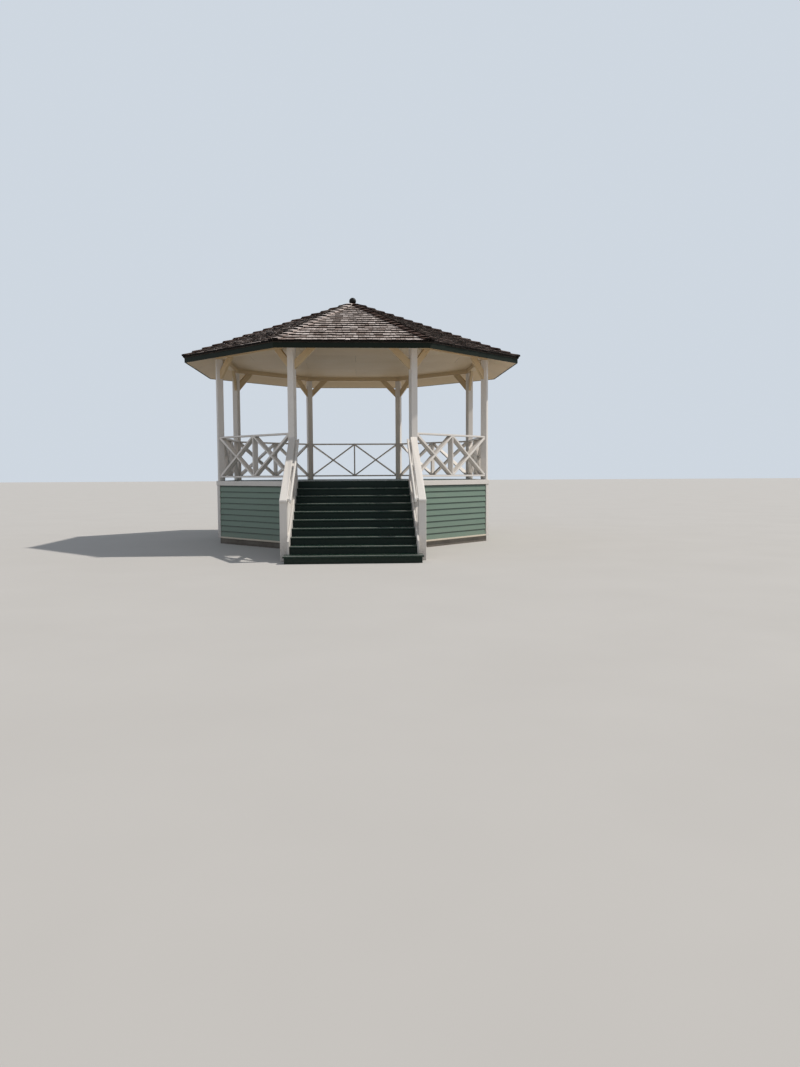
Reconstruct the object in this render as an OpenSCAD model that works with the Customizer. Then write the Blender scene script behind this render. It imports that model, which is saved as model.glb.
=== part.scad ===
// Octagonal bandstand: a lap-sided base, an open ring of eight posts with cross-braced
// railings, a shallow eight-sided shake roof and a wide flight of steps up its front side.
// Sides are numbered anticlockwise from the front, which faces -Y. Lengths in millimetres.

/* [Floor and base] */
// Half width of the floor, from the centre square to a side
floor_a = 3170; // [2800:10:3600]
// Height of the floor over the ground
floor_h = 1445; // [1200:5:1700]
// Thickness of the deck boards
deck_t = 38; // [25:1:50]
// Height of the white band round the floor
band_h = 105; // [90:1:160]
// Thickness of the band boards
band_t = 38; // [34:1:50]
// How far the siding stands behind the face of the band
skirt_inset = 20; // [14:1:22]
// Thickness of the skirt framing behind the band
frame_t = 90; // [60:1:140]
// Height of siding that each lap board shows
lap_h = 130; // [90:5:180]
// Depth of the step under each lap board
lap_step = 12; // [6:1:12]
// Width of each leg of the corner boards
corner_w = 90; // [60:5:140]
// How far the corner boards stand in front of the siding
corner_proud = 6; // [3:1:12]
// Height of the pale board under the siding
sill_h = 36; // [20:1:60]
// Height of the footing kerb
footing_h = 130; // [80:5:200]
// Width of the footing kerb
footing_w = 200; // [140:5:300]
// How far the kerb stands behind the siding
footing_inset = 40; // [20:5:60]
// Depth of the floor joists
joist_d = 184; // [140:2:240]
// Thickness of the floor joists
joist_t = 38; // [30:1:50]
// Distance from one joist to the next
joist_step = 600; // [400:50:700]

/* [Posts and railings] */
// Width of the square posts
post_w = 140; // [100:5:180]
// Distance from a floor corner in to the outer face of its post
post_inset = 51; // [30:1:90]
// Height of the posts over the floor
post_h = 2775; // [2300:5:3200]
// Height of the top rail's upper face over the floor
rail_h = 1013; // [850:1:1150]
// Gap between the floor and the bottom rail
rail_gap = 77; // [40:1:120]
// Thickness of rails, mid stiles and cross braces
rail_t = 38; // [30:1:50]
// Depth of the railing boards, measured through the railing
rail_d = 132; // [80:1:140]

/* [Beam ring and ceiling] */
// Width of the beams that run from post to post
beam_w = 140; // [100:5:160]
// Height of those beams
beam_h = 150; // [120:5:200]
// Length of each leg of the knee braces
brace_leg = 450; // [300:10:600]
// Width of the knee braces
brace_w = 140; // [90:5:160]
// Thickness of the knee braces
brace_t = 60; // [38:1:90]
// Distance of the ceiling under the top of the beams
ceiling_drop = 50; // [30:1:100]
// Thickness of the ceiling and soffit panels
panel_t = 12; // [9:1:20]

/* [Roof] */
// Slope of the roof, in degrees
pitch = 21.7; // [18:0.1:26]
// Distance from the face of the beams out to the face of the fascia
overhang = 650; // [450:10:800]
// Thickness of the fascia boards
fascia_t = 30; // [20:1:45]
// How far the soffit lies above the lower edge of the fascia
soffit_reveal = 6; // [2:1:15]
// Depth of the rafters between soffit and roof boarding
rafter_d = 89; // [70:1:140]
// Thickness of the roof boarding with the shakes on it
roof_t = 40; // [30:1:60]
// Thickness of a shake at its lower end
shake_butt = 20; // [12:1:30]
// How far the shakes reach past the fascia
shake_over = 37; // [20:1:60]
// Number of courses of shakes from eave to peak
courses = 17; // [12:1:22]
// Width of each side of the hip caps
cap_w = 115; // [80:5:150]
// Thickness of the hip caps at their lower ends
cap_t = 42; // [20:1:60]
// Thickness of the hip caps at their upper ends
cap_thin = 10; // [4:1:15]
// How far the hip caps reach past the eave
cap_over = 20; // [10:5:60]
// Thickness of the rafters
rafter_t = 38; // [30:1:50]

/* [Finial] */
// Half width of the opening that the roof leaves at its peak
peak_a = 60; // [45:1:90]
// Diameter of the ball on the peak
ball_d = 172; // [120:1:240]
// Radius of the flange under the ball
flange_r = 105; // [100:1:130]
// Thickness of that flange
flange_t = 12; // [8:1:30]
// Radius of the neck between flange and ball
neck_r = 34; // [20:1:50]
// Height of that neck
neck_h = 10; // [8:1:40]

/* [Stair] */
// Number of rises from the ground to the floor
rises = 10; // [8:1:12]
// Going of each step, from riser to riser
run = 295; // [260:5:330]
// Thickness of the treads
tread_t = 38; // [30:1:50]
// How far a tread reaches over the riser below it
nosing = 25; // [10:1:40]
// Thickness of the riser boards
riser_t = 20; // [15:1:30]
// How far the bottom step reaches past the others at each end
foot_extra = 97; // [60:1:130]
// Thickness of the white curb boards that close the ends of the steps
curb_t = 38; // [25:1:50]
// Depth of those boards, measured square to the slope
curb_d = 235; // [180:5:300]
// Width of the newel posts
newel_w = 140; // [89:1:160]
// Distance from the second riser back to the newels
newel_back = 140; // [20:5:300]
// Height of the stair's top rail over the nosings at the posts
stair_rail_h = 860; // [750:5:950]
// How much nearer the nosings that rail is at the newels
stair_rail_drop = 95; // [0:5:140]
// Width of the flat board on top of the stair railing
cap_rail_w = 140; // [120:2:180]
// Gap between the nosings and the stair's bottom rail, measured upright
stair_rail_gap = 60; // [35:1:100]
// Thickness of the handrail inside the stair railing
grip_t = 38; // [25:1:50]
// Depth of the handrail
grip_d = 64; // [45:1:89]
// Clear gap between the handrail and the flat board
grip_gap = 38; // [30:1:45]
// Length of the blocks that carry the handrail
grip_block = 90; // [60:5:150]
// Thickness of the sawn stringers
stringer_t = 40; // [30:1:60]
// Upright depth of wood left under the last cut of a stringer
stringer_d = 300; // [240:10:380]
// How far the outer stringers stand inside the tread ends
stringer_in = 30; // [10:1:60]

/* [Hidden] */

side_names = ["front", "front_right", "right", "back_right", "back", "back_left", "left", "front_left"];
turn = 45;
half_turn = turn / 2;
flat_run = tan(half_turn);

// Clear gap between like boards that meet at a mitre
mitre_gap = 1;
far = 6000;

// Base
skirt_a = floor_a - skirt_inset;
band_back = floor_a - band_t;
frame_back = band_back - frame_t;
corner_a = skirt_a + corner_proud;
band_z = floor_h - band_h;
deck_z = floor_h - deck_t;
lap_z = footing_h + sill_h;
laps = ceil((band_z - lap_z) / lap_h);
footing_a = skirt_a - footing_inset;
corner_x = skirt_a * flat_run - corner_w;

// Posts and beams
post_out = floor_a / cos(half_turn) - post_inset;
post_r = post_out - post_w / 2;
post_a = post_r * cos(half_turn);
post_x = post_r * sin(half_turn);
beam_out = post_a + beam_w / 2;
beam_in = post_a - beam_w / 2;
beam_z = floor_h + post_h;
beam_top = beam_z + beam_h;
post_face_x = post_x - post_w / 2 / cos(half_turn);

// Roof, whose planes fall by roof_m for each unit outwards
roof_m = tan(pitch);
upright = 1 / cos(pitch);
fascia_a = beam_out + overhang;
fascia_in = fascia_a - fascia_t;
eave_a = fascia_a + shake_over;
soffit_peak = beam_top + beam_out * roof_m;
roof_under = soffit_peak + rafter_d * upright;
roof_over = roof_under + roof_t * upright;
fascia_z = soffit_peak - panel_t * upright - fascia_in * roof_m - soffit_reveal;
flat_a = flange_r + 5;
course_a = (eave_a - flat_a) / courses;
roof_reach = eave_a + cap_over;
hub_a = rafter_t / 2 / tan(half_turn / 2) + 12;
// Clear gap between the hub and the rafters' upper ends
rafter_gap = 0.2;

// Hip caps lie on the tips of the shakes
hip_pitch = atan(roof_m * cos(half_turn));
wing_pitch = atan(roof_m * sin(half_turn) * cos(hip_pitch));
cap_seat = roof_over + shake_butt;
cap_start = (flange_r + 12) / cos(hip_pitch);
cap_end = (roof_reach / cos(half_turn) + cap_t) / cos(hip_pitch);
cap_run = (cap_end - cap_start) / courses;

// Stair
rise = floor_h / rises;
rail_x = post_x;
curb_x = rail_x - newel_w / 2 - curb_t;
stair_w = 2 * curb_x;
stair_m = rise / run;
stair_up = 1 / cos(atan(stair_m));
stair_reach = floor_a + riser_t + run * (rises - 1) + nosing;
newel_y = riser_y(2) + newel_back;

// The stair's top rail runs from the newels up to the face of the posts
rail_end = -(post_out - rail_x * sin(half_turn)) / cos(half_turn);
cap_m = stair_m + stair_rail_drop / (rail_end - newel_y);
cap_up = 1 / cos(atan(cap_m));
cap_top = nose_z(rail_end) + stair_rail_h - rail_end * cap_m;
cap_low = cap_top - rail_t * cap_up;

// The origin is under the middle of the whole outline, so the octagon stands behind it
centre_y = (stair_reach - roof_reach) / 2;

function riser_y(k) = -(floor_a + riser_t + run * (rises - k));
function nose_z(y) = rise + (y - riser_y(1) + nosing) * stair_m;
function roof_top(a) = roof_over - a * roof_m;

module octagon(a) {
    circle(r = a / cos(half_turn), $fn = 8);
}

// An octagon with flat sides square to the axes
module flat_octagon(a) rotate(half_turn) octagon(a);

module ring_2d(outer, inner) {
    difference() {
        flat_octagon(outer);
        flat_octagon(inner);
    }
}

module mitre_slits() {
    for (j = [0:7]) rotate(half_turn + turn * j) translate([-mitre_gap / 2, -far]) square([mitre_gap, far]);
}

// Ground plan of one side's share of the octagon, its edges moved in by clear
module side_share(clear) {
    translate([0, -clear / sin(half_turn)]) polygon([[0, 0], [-far * flat_run, -far], [far * flat_run, -far]]);
}

// A profile of [distance from centre, height] points, drawn along the front side
module along_side(points, half) {
    rotate([90, 0, 90]) translate([0, 0, -half]) linear_extrude(height = 2 * half)
        polygon([for (p = points) [-p[0], p[1]]]);
}

// The same profile, mitred to its neighbours with the given clearance
module mitred_side(points, clear = 0) {
    intersection() {
        along_side(points, far * flat_run);
        linear_extrude(height = 2 * far) side_share(clear);
    }
}

module on_side(i) {
    translate([0, centre_y, 0]) rotate(turn * i) children();
}

module on_corner(j) {
    translate([0, centre_y, 0]) rotate(half_turn + turn * j) children();
}

module on_centre() {
    translate([0, centre_y, 0]) children();
}

module footing() {
    color("#8f8a80") on_centre() linear_extrude(height = footing_h) ring_2d(footing_a, footing_a - footing_w);
}

// Ring of corner pieces: what is left of a ring between the sides' middle strips
module corners_2d(outer, inner) {
    difference() {
        ring_2d(outer, inner);
        for (i = [0:7]) rotate(turn * i) translate([-corner_x, -far]) square([2 * corner_x, far]);
    }
}

module corner_boards() {
    color("#e9e7df") on_centre() {
        translate([0, 0, footing_h]) linear_extrude(height = band_z - footing_h) corners_2d(corner_a, frame_back);
        translate([0, 0, band_z]) linear_extrude(height = deck_z - band_z) corners_2d(band_back, frame_back);
    }
}

module sill_boards() {
    color("#cfc9ba") for (i = [0:7]) on_side(i) translate([-corner_x, -corner_a, footing_h])
        cube([2 * corner_x, corner_a - frame_back, sill_h]);
}

// One skirt wall: lapped boards on a frame that also carries the edge of the deck
module skirt(i) {
    laps_out = [for (k = [0:laps - 1]) let (
        low = lap_z + k * lap_h,
        high = min(low + lap_h, band_z)
    ) each [[skirt_a, low], [skirt_a - lap_step * (high - low) / lap_h, high]]];
    frame_up = [[band_back, band_z], [band_back, deck_z], [frame_back, deck_z], [frame_back, lap_z]];
    color("#1f4a3a") on_side(i) along_side(concat(laps_out, frame_up), corner_x);
}

module floor_band() {
    color("#e9e7df") on_centre() translate([0, 0, band_z]) linear_extrude(height = band_h) difference() {
        ring_2d(floor_a, band_back);
        mitre_slits();
    }
}

module floor_deck() {
    color("#2c5a48") on_centre() translate([0, 0, deck_z]) linear_extrude(height = deck_t) flat_octagon(band_back);
}

module floor_joists() {
    outer = frame_back - joist_t / 2;
    per_half = round(outer / joist_step);
    color("#b59a6c") on_centre() translate([0, 0, deck_z - joist_d]) linear_extrude(height = joist_d) intersection() {
        flat_octagon(frame_back);
        for (k = [-per_half:per_half]) translate([k * outer / per_half - joist_t / 2, -far])
            square([joist_t, 2 * far]);
    }
}

module posts() {
    color("#ece9e1") for (j = [0:7]) on_corner(j) translate([-post_w / 2, -post_out, floor_h])
        cube([post_w, post_w, post_h]);
}

// A straight board on edge from p to q
module bar_2d(p, q) {
    d = q - p;
    translate(p) rotate(atan2(d[1], d[0])) translate([-rail_t / 2, -rail_t / 2]) square([norm(d) + rail_t, rail_t]);
}

// Two crossed boards between a lower and an upper rail. Their ends are let into what they meet,
// by into at the x0 end and by half a board at the others.
module cross_2d(x0, x1, low, high, low_m = 0, high_m = 0, into = rail_t / 2) {
    a = [x0, low + x0 * low_m];
    b = [x1, low + x1 * low_m];
    c = [x1, high + x1 * high_m];
    d = [x0, high + x0 * high_m];
    tuck = rail_t / 2;
    start = x0 - into;
    end = x1 + tuck;
    intersection() {
        polygon([
            [start, low + start * low_m - tuck], [end, low + end * low_m - tuck],
            [end, high + end * high_m + tuck], [start, high + start * high_m + tuck]
        ]);
        union() {
            bar_2d(a, c);
            bar_2d(b, d);
        }
    }
}

// A board of upright thickness t whose lower face is z at x = 0 and rises by m
module rail_2d(x0, x1, z, t, m) {
    polygon([[x0, z + x0 * m], [x1, z + x1 * m], [x1, z + t + x1 * m], [x0, z + t + x0 * m]]);
}

module railing(i) {
    reach = post_x;
    low = floor_h + rail_gap;
    top = floor_h + rail_h - rail_t;
    color("#ece9e1") on_side(i) intersection() {
        translate([0, rail_d / 2 - post_a, 0]) rotate([90, 0, 0]) linear_extrude(height = rail_d) {
            rail_2d(-reach, reach, low, rail_t, 0);
            rail_2d(-reach, reach, top, rail_t, 0);
            translate([-rail_t / 2, low]) square([rail_t, top - low]);
            cross_2d(-post_face_x, -rail_t / 2, low + rail_t, top);
            cross_2d(rail_t / 2, post_face_x, low + rail_t, top);
        }
        linear_extrude(height = 2 * far) side_share(post_w / 2);
    }
}

module beam_ring() {
    color("#cdbf9f") on_centre() translate([0, 0, beam_z]) linear_extrude(height = beam_h) difference() {
        ring_2d(beam_out, beam_in);
        mitre_slits();
    }
}

// A pair of braces in each bay, from the posts up to the beam
module knee_braces() {
    inner_leg = brace_leg - brace_w / sin(turn);
    tuck = post_w / 2;
    color("#cdbf9f") for (i = [0:7]) on_side(i) intersection() {
        for (s = [-1, 1]) translate([s * post_face_x, brace_t / 2 - post_a, beam_z]) rotate([90, 0, 0])
            linear_extrude(height = brace_t) polygon([
                [s * tuck, -brace_leg - tuck], [-s * brace_leg, 0], [-s * inner_leg, 0], [s * tuck, -inner_leg - tuck]
            ]);
        linear_extrude(height = 2 * far) side_share(post_w / 2);
    }
}

module ceiling() {
    color("#d8cba9") on_centre() translate([0, 0, beam_top - ceiling_drop]) linear_extrude(height = panel_t)
        flat_octagon(beam_in);
}

module soffit() {
    color("#d8cba9") for (i = [0:7]) on_side(i) mitred_side([
        [fascia_in, soffit_peak - panel_t * upright - fascia_in * roof_m],
        [fascia_in, soffit_peak - fascia_in * roof_m],
        [beam_out, soffit_peak - beam_out * roof_m],
        [beam_out, soffit_peak - panel_t * upright - beam_out * roof_m]
    ], mitre_gap / 2);
}

module fascia() {
    color("#173528") for (i = [0:7]) on_side(i) mitred_side([
        [fascia_in, fascia_z],
        [fascia_a, fascia_z],
        [fascia_a, roof_under - fascia_a * roof_m],
        [fascia_in, roof_under - fascia_in * roof_m]
    ], mitre_gap / 2);
}

// One slope of the roof, its upper side stepped in courses of shakes
module roof_slope(i) {
    steps = [for (k = [0:courses - 1]) let (
        low = eave_a - k * course_a,
        high = low - course_a
    ) each [[low, roof_top(low) + shake_butt], [high, roof_top(high)]]];
    under = [[peak_a, roof_top(flat_a)], [peak_a, roof_under - peak_a * roof_m],
        [eave_a, roof_under - eave_a * roof_m]];
    color("#6b4f3c") on_side(i) mitred_side(concat(steps, under));
}

// A rafter of the given half plan, from the hub out to the fascia
module rafter(cosine, reach, drop) {
    head = hub_a + rafter_gap;
    translate([-rafter_t / 2, 0, 0]) rotate([90, 0, 90]) linear_extrude(height = rafter_t) polygon([
        [-head, soffit_peak - head * cosine * roof_m],
        [-reach, soffit_peak - reach * cosine * roof_m],
        [-reach, roof_under - reach * cosine * roof_m - drop],
        [-head, roof_under - head * cosine * roof_m - drop]
    ]);
}

module rafters() {
    hip_reach = (fascia_in - rafter_t / 2 * sin(half_turn)) / cos(half_turn);
    color("#b59a6c") {
        for (i = [0:7]) on_side(i) rafter(1, fascia_in, 0);
        for (j = [0:7]) on_corner(j) rafter(cos(half_turn), hip_reach, rafter_t / 2 * sin(half_turn) * roof_m);
        on_centre() translate([0, 0, soffit_peak - hub_a * roof_m]) linear_extrude(height = rafter_d * upright)
            intersection() {
                octagon(hub_a);
                rotate(half_turn) octagon(hub_a);
            }
    }
}

// One wing of a row of hip caps, mitred on the line of the hip
module cap_wing() {
    steps = [for (k = [0:courses - 1]) let (low = cap_end - k * cap_run) each [[-low, cap_t], [cap_run - low, cap_thin]]];
    intersection() {
        rotate([hip_pitch, 0, 0]) rotate([0, wing_pitch, 0]) translate([-cap_t, 0, 0]) rotate([90, 0, 90])
            linear_extrude(height = cap_w + cap_t) polygon(concat(steps, [[-cap_start, 0], [-cap_end, 0]]));
        translate([0, -far, -far]) cube([far, 2 * far, 2 * far]);
    }
}

module hip_caps() {
    color("#5d4434") for (j = [0:7]) on_corner(j) intersection() {
        translate([0, 0, cap_seat]) {
            cap_wing();
            mirror([1, 0, 0]) cap_wing();
        }
        linear_extrude(height = 2 * far) intersection() {
            octagon(roof_reach);
            side_share(mitre_gap / 2);
        }
    }
}

module finial() {
    seat = roof_top(flat_a);
    color("#2b2a29") on_centre() translate([0, 0, seat]) {
        cylinder(r = flange_r, h = flange_t, $fn = 64);
        cylinder(r = neck_r, h = flange_t + neck_h, $fn = 64);
        translate([0, 0, flange_t + neck_h + ball_d / 2 - 8]) sphere(d = ball_d, $fn = 64);
    }
}

module treads() {
    color("#2c5a48") on_centre() for (k = [1:rises - 1]) {
        w = stair_w + (k == 1 ? 2 * foot_extra : 0);
        translate([-w / 2, riser_y(k) - nosing, k * rise - tread_t])
            cube([w, run + nosing, tread_t]);
    }
}

module risers() {
    color("#173528") on_centre() for (k = [1:rises]) {
        low = max(0, (k - 1) * rise - tread_t);
        high = k == rises ? floor_h : k * rise - tread_t;
        w = stair_w + (k == 1 ? 2 * (foot_extra - nosing) : 0);
        translate([-w / 2, riser_y(k), low]) cube([w, riser_t, high - low]);
    }
}

module stringer() {
    back = -floor_a;
    low = (rises - 1) * rise - tread_t - stringer_d;
    cuts = [for (k = [1:rises - 1]) each [
        [riser_y(k) + riser_t, k * rise - tread_t], [riser_y(k + 1) + riser_t, k * rise - tread_t]
    ]];
    rotate([90, 0, 90]) linear_extrude(height = stringer_t)
        polygon(concat([[riser_y(1) + riser_t, 0]], cuts, [[back, low], [back - low / stair_m, 0]]));
}

module stringers() {
    edge = stair_w / 2 - stringer_in;
    color("#173528") on_centre() for (x = [-edge, -stringer_t / 2, edge - stringer_t]) translate([x, 0, 0]) stringer();
}

// White boards along both ends of the steps, from the bottom tread up to the floor band
module stair_curbs() {
    over = stair_rail_gap + rail_t * stair_up;
    under = curb_d * stair_up - over;
    front = riser_y(2) - 2 * nosing;
    meet = riser_y(1) - nosing + under / stair_m;
    color("#ece9e1") on_centre() for (x = [-curb_x - curb_t, curb_x]) translate([x, 0, 0])
        rotate([90, 0, 90]) linear_extrude(height = curb_t) polygon([
            [front, rise],
            [max(front, meet), rise],
            [-floor_a, nose_z(-floor_a) - under],
            [-floor_a, nose_z(-floor_a) + over],
            [front, nose_z(front) + over]
        ]);
}

module newels() {
    color("#ece9e1") on_centre() for (s = [-1, 1]) translate([s * rail_x - newel_w / 2, 0, 0])
        rotate([90, 0, 90]) linear_extrude(height = newel_w) polygon([
            [newel_y, 0],
            [newel_y + newel_w, 0],
            [newel_y + newel_w, cap_low + (newel_y + newel_w) * cap_m],
            [newel_y, cap_low + newel_y * cap_m]
        ]);
}

// A profile of the stair's railing, from x0 to x1 outwards of the middle of the rail
module stair_run(s, x0, x1) {
    translate([s * (rail_x + (x0 + x1) / 2) - (x1 - x0) / 2, 0, 0]) rotate([90, 0, 90])
        linear_extrude(height = x1 - x0) children();
}

// The stair's railing follows the nosings from the newel up to the front post
module stair_rail(s) {
    rail_up = rail_t * stair_up;
    foot = nose_z(0) + stair_rail_gap;
    start = newel_y + newel_w;
    end = rail_end + (max(cap_rail_w, rail_d) / 2 + 10) * flat_run;
    middle = (start + end) / 2;
    block_x = -cap_rail_w / 2 - grip_gap;
    color("#ece9e1") on_centre() difference() {
        union() {
            stair_run(s, -cap_rail_w / 2, cap_rail_w / 2)
                rail_2d(newel_y - nosing, end, cap_low, rail_t * cap_up, cap_m);
            stair_run(s, -rail_d / 2, rail_d / 2) {
                rail_2d(start, end, foot, rail_up, stair_m);
                cross_2d(start, middle - rail_t / 2, foot + rail_up, cap_low, stair_m, cap_m, 0);
                cross_2d(middle + rail_t / 2, end, foot + rail_up, cap_low, stair_m, cap_m);
                intersection() {
                    polygon([[start, foot + start * stair_m], [end, foot + end * stair_m],
                        [end, cap_low + rail_t / 2 + end * cap_m], [start, cap_low + rail_t / 2 + start * cap_m]]);
                    translate([middle - rail_t / 2, 0]) square([rail_t, far]);
                }
            }
            stair_run(s, block_x - grip_t, block_x)
                rail_2d(newel_y, -floor_a, cap_top - grip_d * cap_up, grip_d * cap_up, cap_m);
            for (y = [newel_y + newel_w / 2, middle, -floor_a - newel_w / 2])
                stair_run(s, block_x, -cap_rail_w / 2)
                    rail_2d(y - grip_block / 2, y + grip_block / 2, cap_low + 4, (rail_t - 8) * cap_up, cap_m);
        }
        rotate(s * half_turn) translate([-far / 2, -post_out, 0]) cube([far, far, far]);
    }
}

footing();
sill_boards();
corner_boards();
for (i = [0:7]) skirt(i);
floor_band();
floor_deck();
floor_joists();
posts();
for (i = [1:7]) railing(i);
beam_ring();
knee_braces();
ceiling();
soffit();
fascia();
rafters();
for (i = [0:7]) roof_slope(i);
hip_caps();
finial();
treads();
risers();
stringers();
stair_curbs();
newels();
stair_rail(-1);  // stair_rail_left
stair_rail(1);  // stair_rail_right
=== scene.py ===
import math
import bpy
import numpy as np
from mathutils import Matrix, Vector


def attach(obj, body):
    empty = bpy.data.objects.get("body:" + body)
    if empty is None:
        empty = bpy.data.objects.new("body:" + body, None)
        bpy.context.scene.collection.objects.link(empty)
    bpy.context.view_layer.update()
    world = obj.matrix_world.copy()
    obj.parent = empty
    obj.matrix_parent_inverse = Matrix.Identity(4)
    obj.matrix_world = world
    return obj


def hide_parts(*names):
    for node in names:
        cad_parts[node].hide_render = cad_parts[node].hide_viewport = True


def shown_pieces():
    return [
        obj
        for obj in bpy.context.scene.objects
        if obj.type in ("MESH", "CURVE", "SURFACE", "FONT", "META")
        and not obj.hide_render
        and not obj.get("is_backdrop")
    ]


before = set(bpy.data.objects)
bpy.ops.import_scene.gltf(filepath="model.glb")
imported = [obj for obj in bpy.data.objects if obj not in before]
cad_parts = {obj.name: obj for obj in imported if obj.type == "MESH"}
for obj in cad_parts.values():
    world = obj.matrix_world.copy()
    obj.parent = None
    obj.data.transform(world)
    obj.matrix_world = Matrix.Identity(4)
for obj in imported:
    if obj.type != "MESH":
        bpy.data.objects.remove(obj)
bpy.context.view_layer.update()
print("frame loaded,", len(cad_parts), "nodes")

# main measures of the bandstand, metres, from the middle of the octagon; the pitch in degrees
layout = {
    "centreY": 1.017395, "floorA": 3.170, "floorH": 1.445, "bandH": 0.105, "bandT": 0.038,
    "skirtA": 3.150, "frameBack": 3.042, "cornerA": 3.156, "cornerW": 0.090,
    "footingH": 0.130, "sillH": 0.036, "lapH": 0.130, "postW": 0.140, "postInset": 0.051, "postH": 2.775,
    "beamW": 0.140, "beamH": 0.150, "pitch": 21.7, "overhang": 0.650, "rafterH": 0.089, "roofBed": 0.040,
    "eaveOver": 0.037, "peakA": 0.110, "courses": 17,
}
# gaps left at the mitres and where boards end on a post
mitre, postGap = 0.0005, 0.0003
# how far the edges of the boards are eased
edges = {"sheath": 0.001, "soffit": 0.0015, "frame": 0.002, "trim": 0.003, "board": 0.004, "beam": 0.005,
         "post": 0.006, "cap": 0.007, "grip": 0.010}
sideNames = ["front", "front_right", "right", "back_right", "back", "back_left", "left", "front_left"]
turn = math.radians(45)
flatRun, sinHalf, cosHalf = math.tan(turn / 2), math.sin(turn / 2), math.cos(turn / 2)
centreY, skirtA, postW = layout["centreY"], layout["skirtA"], layout["postW"]
floorA, floorH = layout["floorA"], layout["floorH"]
deckA = floorA - layout["bandT"]
bandZ = floorH - layout["bandH"]
skirtLow = layout["footingH"] + layout["sillH"]
cornerX = skirtA * flatRun - layout["cornerW"]
postOut = floorA / cosHalf - layout["postInset"]
postR = postOut - postW / 2
postA, postX = postR * cosHalf, postR * sinHalf
postFaceX = postX - postW / 2 / cosHalf
beamZ = floorH + layout["postH"]
beamTop = beamZ + layout["beamH"]
beamOut, beamIn = postA + layout["beamW"] / 2, postA - layout["beamW"] / 2
roofM = math.tan(math.radians(layout["pitch"]))
upright = 1 / math.cos(math.radians(layout["pitch"]))
fasciaA = beamOut + layout["overhang"]
eaveA = fasciaA + layout["eaveOver"]
soffitPeak = beamTop + beamOut * roofM
roofUnder = soffitPeak + layout["rafterH"] * upright
roofOver = roofUnder + layout["roofBed"] * upright
centrePlace = Matrix.Translation((0, centreY, 0))


def sidePlace(i):
    return centrePlace @ Matrix.Rotation(turn * i, 4, "Z")


def cornerPlace(j):
    return sidePlace(j + 0.5)


def moved(points, matrix):
    m = np.array(matrix)
    return points @ m[:3, :3].T + m[:3, 3]


def shown(name, data):
    obj = bpy.data.objects.new(name, data)
    bpy.context.scene.collection.objects.link(obj)
    return obj


def store(mesh, name, values, kind="FLOAT", domain="POINT"):
    field = "vector" if kind == "FLOAT_VECTOR" else "value"
    mesh.attributes.new(name, kind, domain).data.foreach_set(field, np.asarray(values, float).ravel())


def stored(mesh, name, width=1):
    # an attribute's values, one row to a vertex, or zeros if the mesh lacks it
    values = np.zeros(len(mesh.vertices) * width)
    if name in mesh.attributes:
        mesh.attributes[name].data.foreach_get("value" if width == 1 else "vector", values)
    return values if width == 1 else values.reshape(-1, width)


# boards
# a chamfered box: three points at each corner, faces turned outwards
def chamferedBoxFaces():
    corners = list(np.ndindex(2, 2, 2))
    index = {c: n for n, c in enumerate(corners)}

    def point(v):
        c, a = corners[v // 3], v % 3
        return np.array([c[b] if b == a else 0.2 + 0.6 * c[b] for b in range(3)])

    def outwards(ring):
        p = [point(v) for v in ring]
        away = sum(p) / len(p) - 0.5
        return ring if np.cross(p[1] - p[0], p[2] - p[0]) @ away > 0 else ring[::-1]

    flat, eased = [], []
    for a in range(3):
        b, c = (a + 1) % 3, (a + 2) % 3
        for s in (0, 1):
            ring = []
            for p, q in ((0, 0), (1, 0), (1, 1), (0, 1)):
                corner = [0, 0, 0]
                corner[a], corner[b], corner[c] = s, p, q
                ring.append(index[tuple(corner)] * 3 + a)
            flat.append(ring)
        for p, q in np.ndindex(2, 2):
            low, high = [0, 0, 0], [0, 0, 0]
            low[b], low[c], high[a], high[b], high[c] = p, q, 1, p, q
            n, m = index[tuple(low)] * 3, index[tuple(high)] * 3
            eased.append([n + b, m + b, m + c, n + c])
    eased += [[n * 3, n * 3 + 1, n * 3 + 2] for n in range(8)]
    return corners, [outwards(ring) for ring in flat], [outwards(ring) for ring in eased]


boxCorners, boxFlat, boxEased = chamferedBoxFaces()


def cutOutline(points, nx, ny, c):
    # what is left of a convex outline where nx * x + ny * y <= c
    kept = []
    for n, p in enumerate(points):
        q = points[(n + 1) % len(points)]
        dp, dq = nx * p[0] + ny * p[1] - c, nx * q[0] + ny * q[1] - c
        if dp <= 1e-9:
            kept.append(p)
        if (dp < -1e-9 and dq > 1e-9) or (dp > 1e-9 and dq < -1e-9):
            t = dp / (dp - dq)
            kept.append((p[0] + (q[0] - p[0]) * t, p[1] + (q[1] - p[1]) * t))
    tidy = []
    for p in kept:
        if not tidy or math.dist(p, tidy[-1]) > 1e-5:
            tidy.append(p)
    if len(tidy) > 1 and math.dist(tidy[0], tidy[-1]) <= 1e-5:
        tidy.pop()
    return tidy


def cutToOutline(points, outline):
    # both run anticlockwise
    for n, p in enumerate(outline):
        q = outline[(n + 1) % len(outline)]
        nx, ny = q[1] - p[1], p[0] - q[0]
        points = cutOutline(points, nx, ny, nx * p[0] + ny * p[1])
        if len(points) < 3:
            return []
    return points


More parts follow.
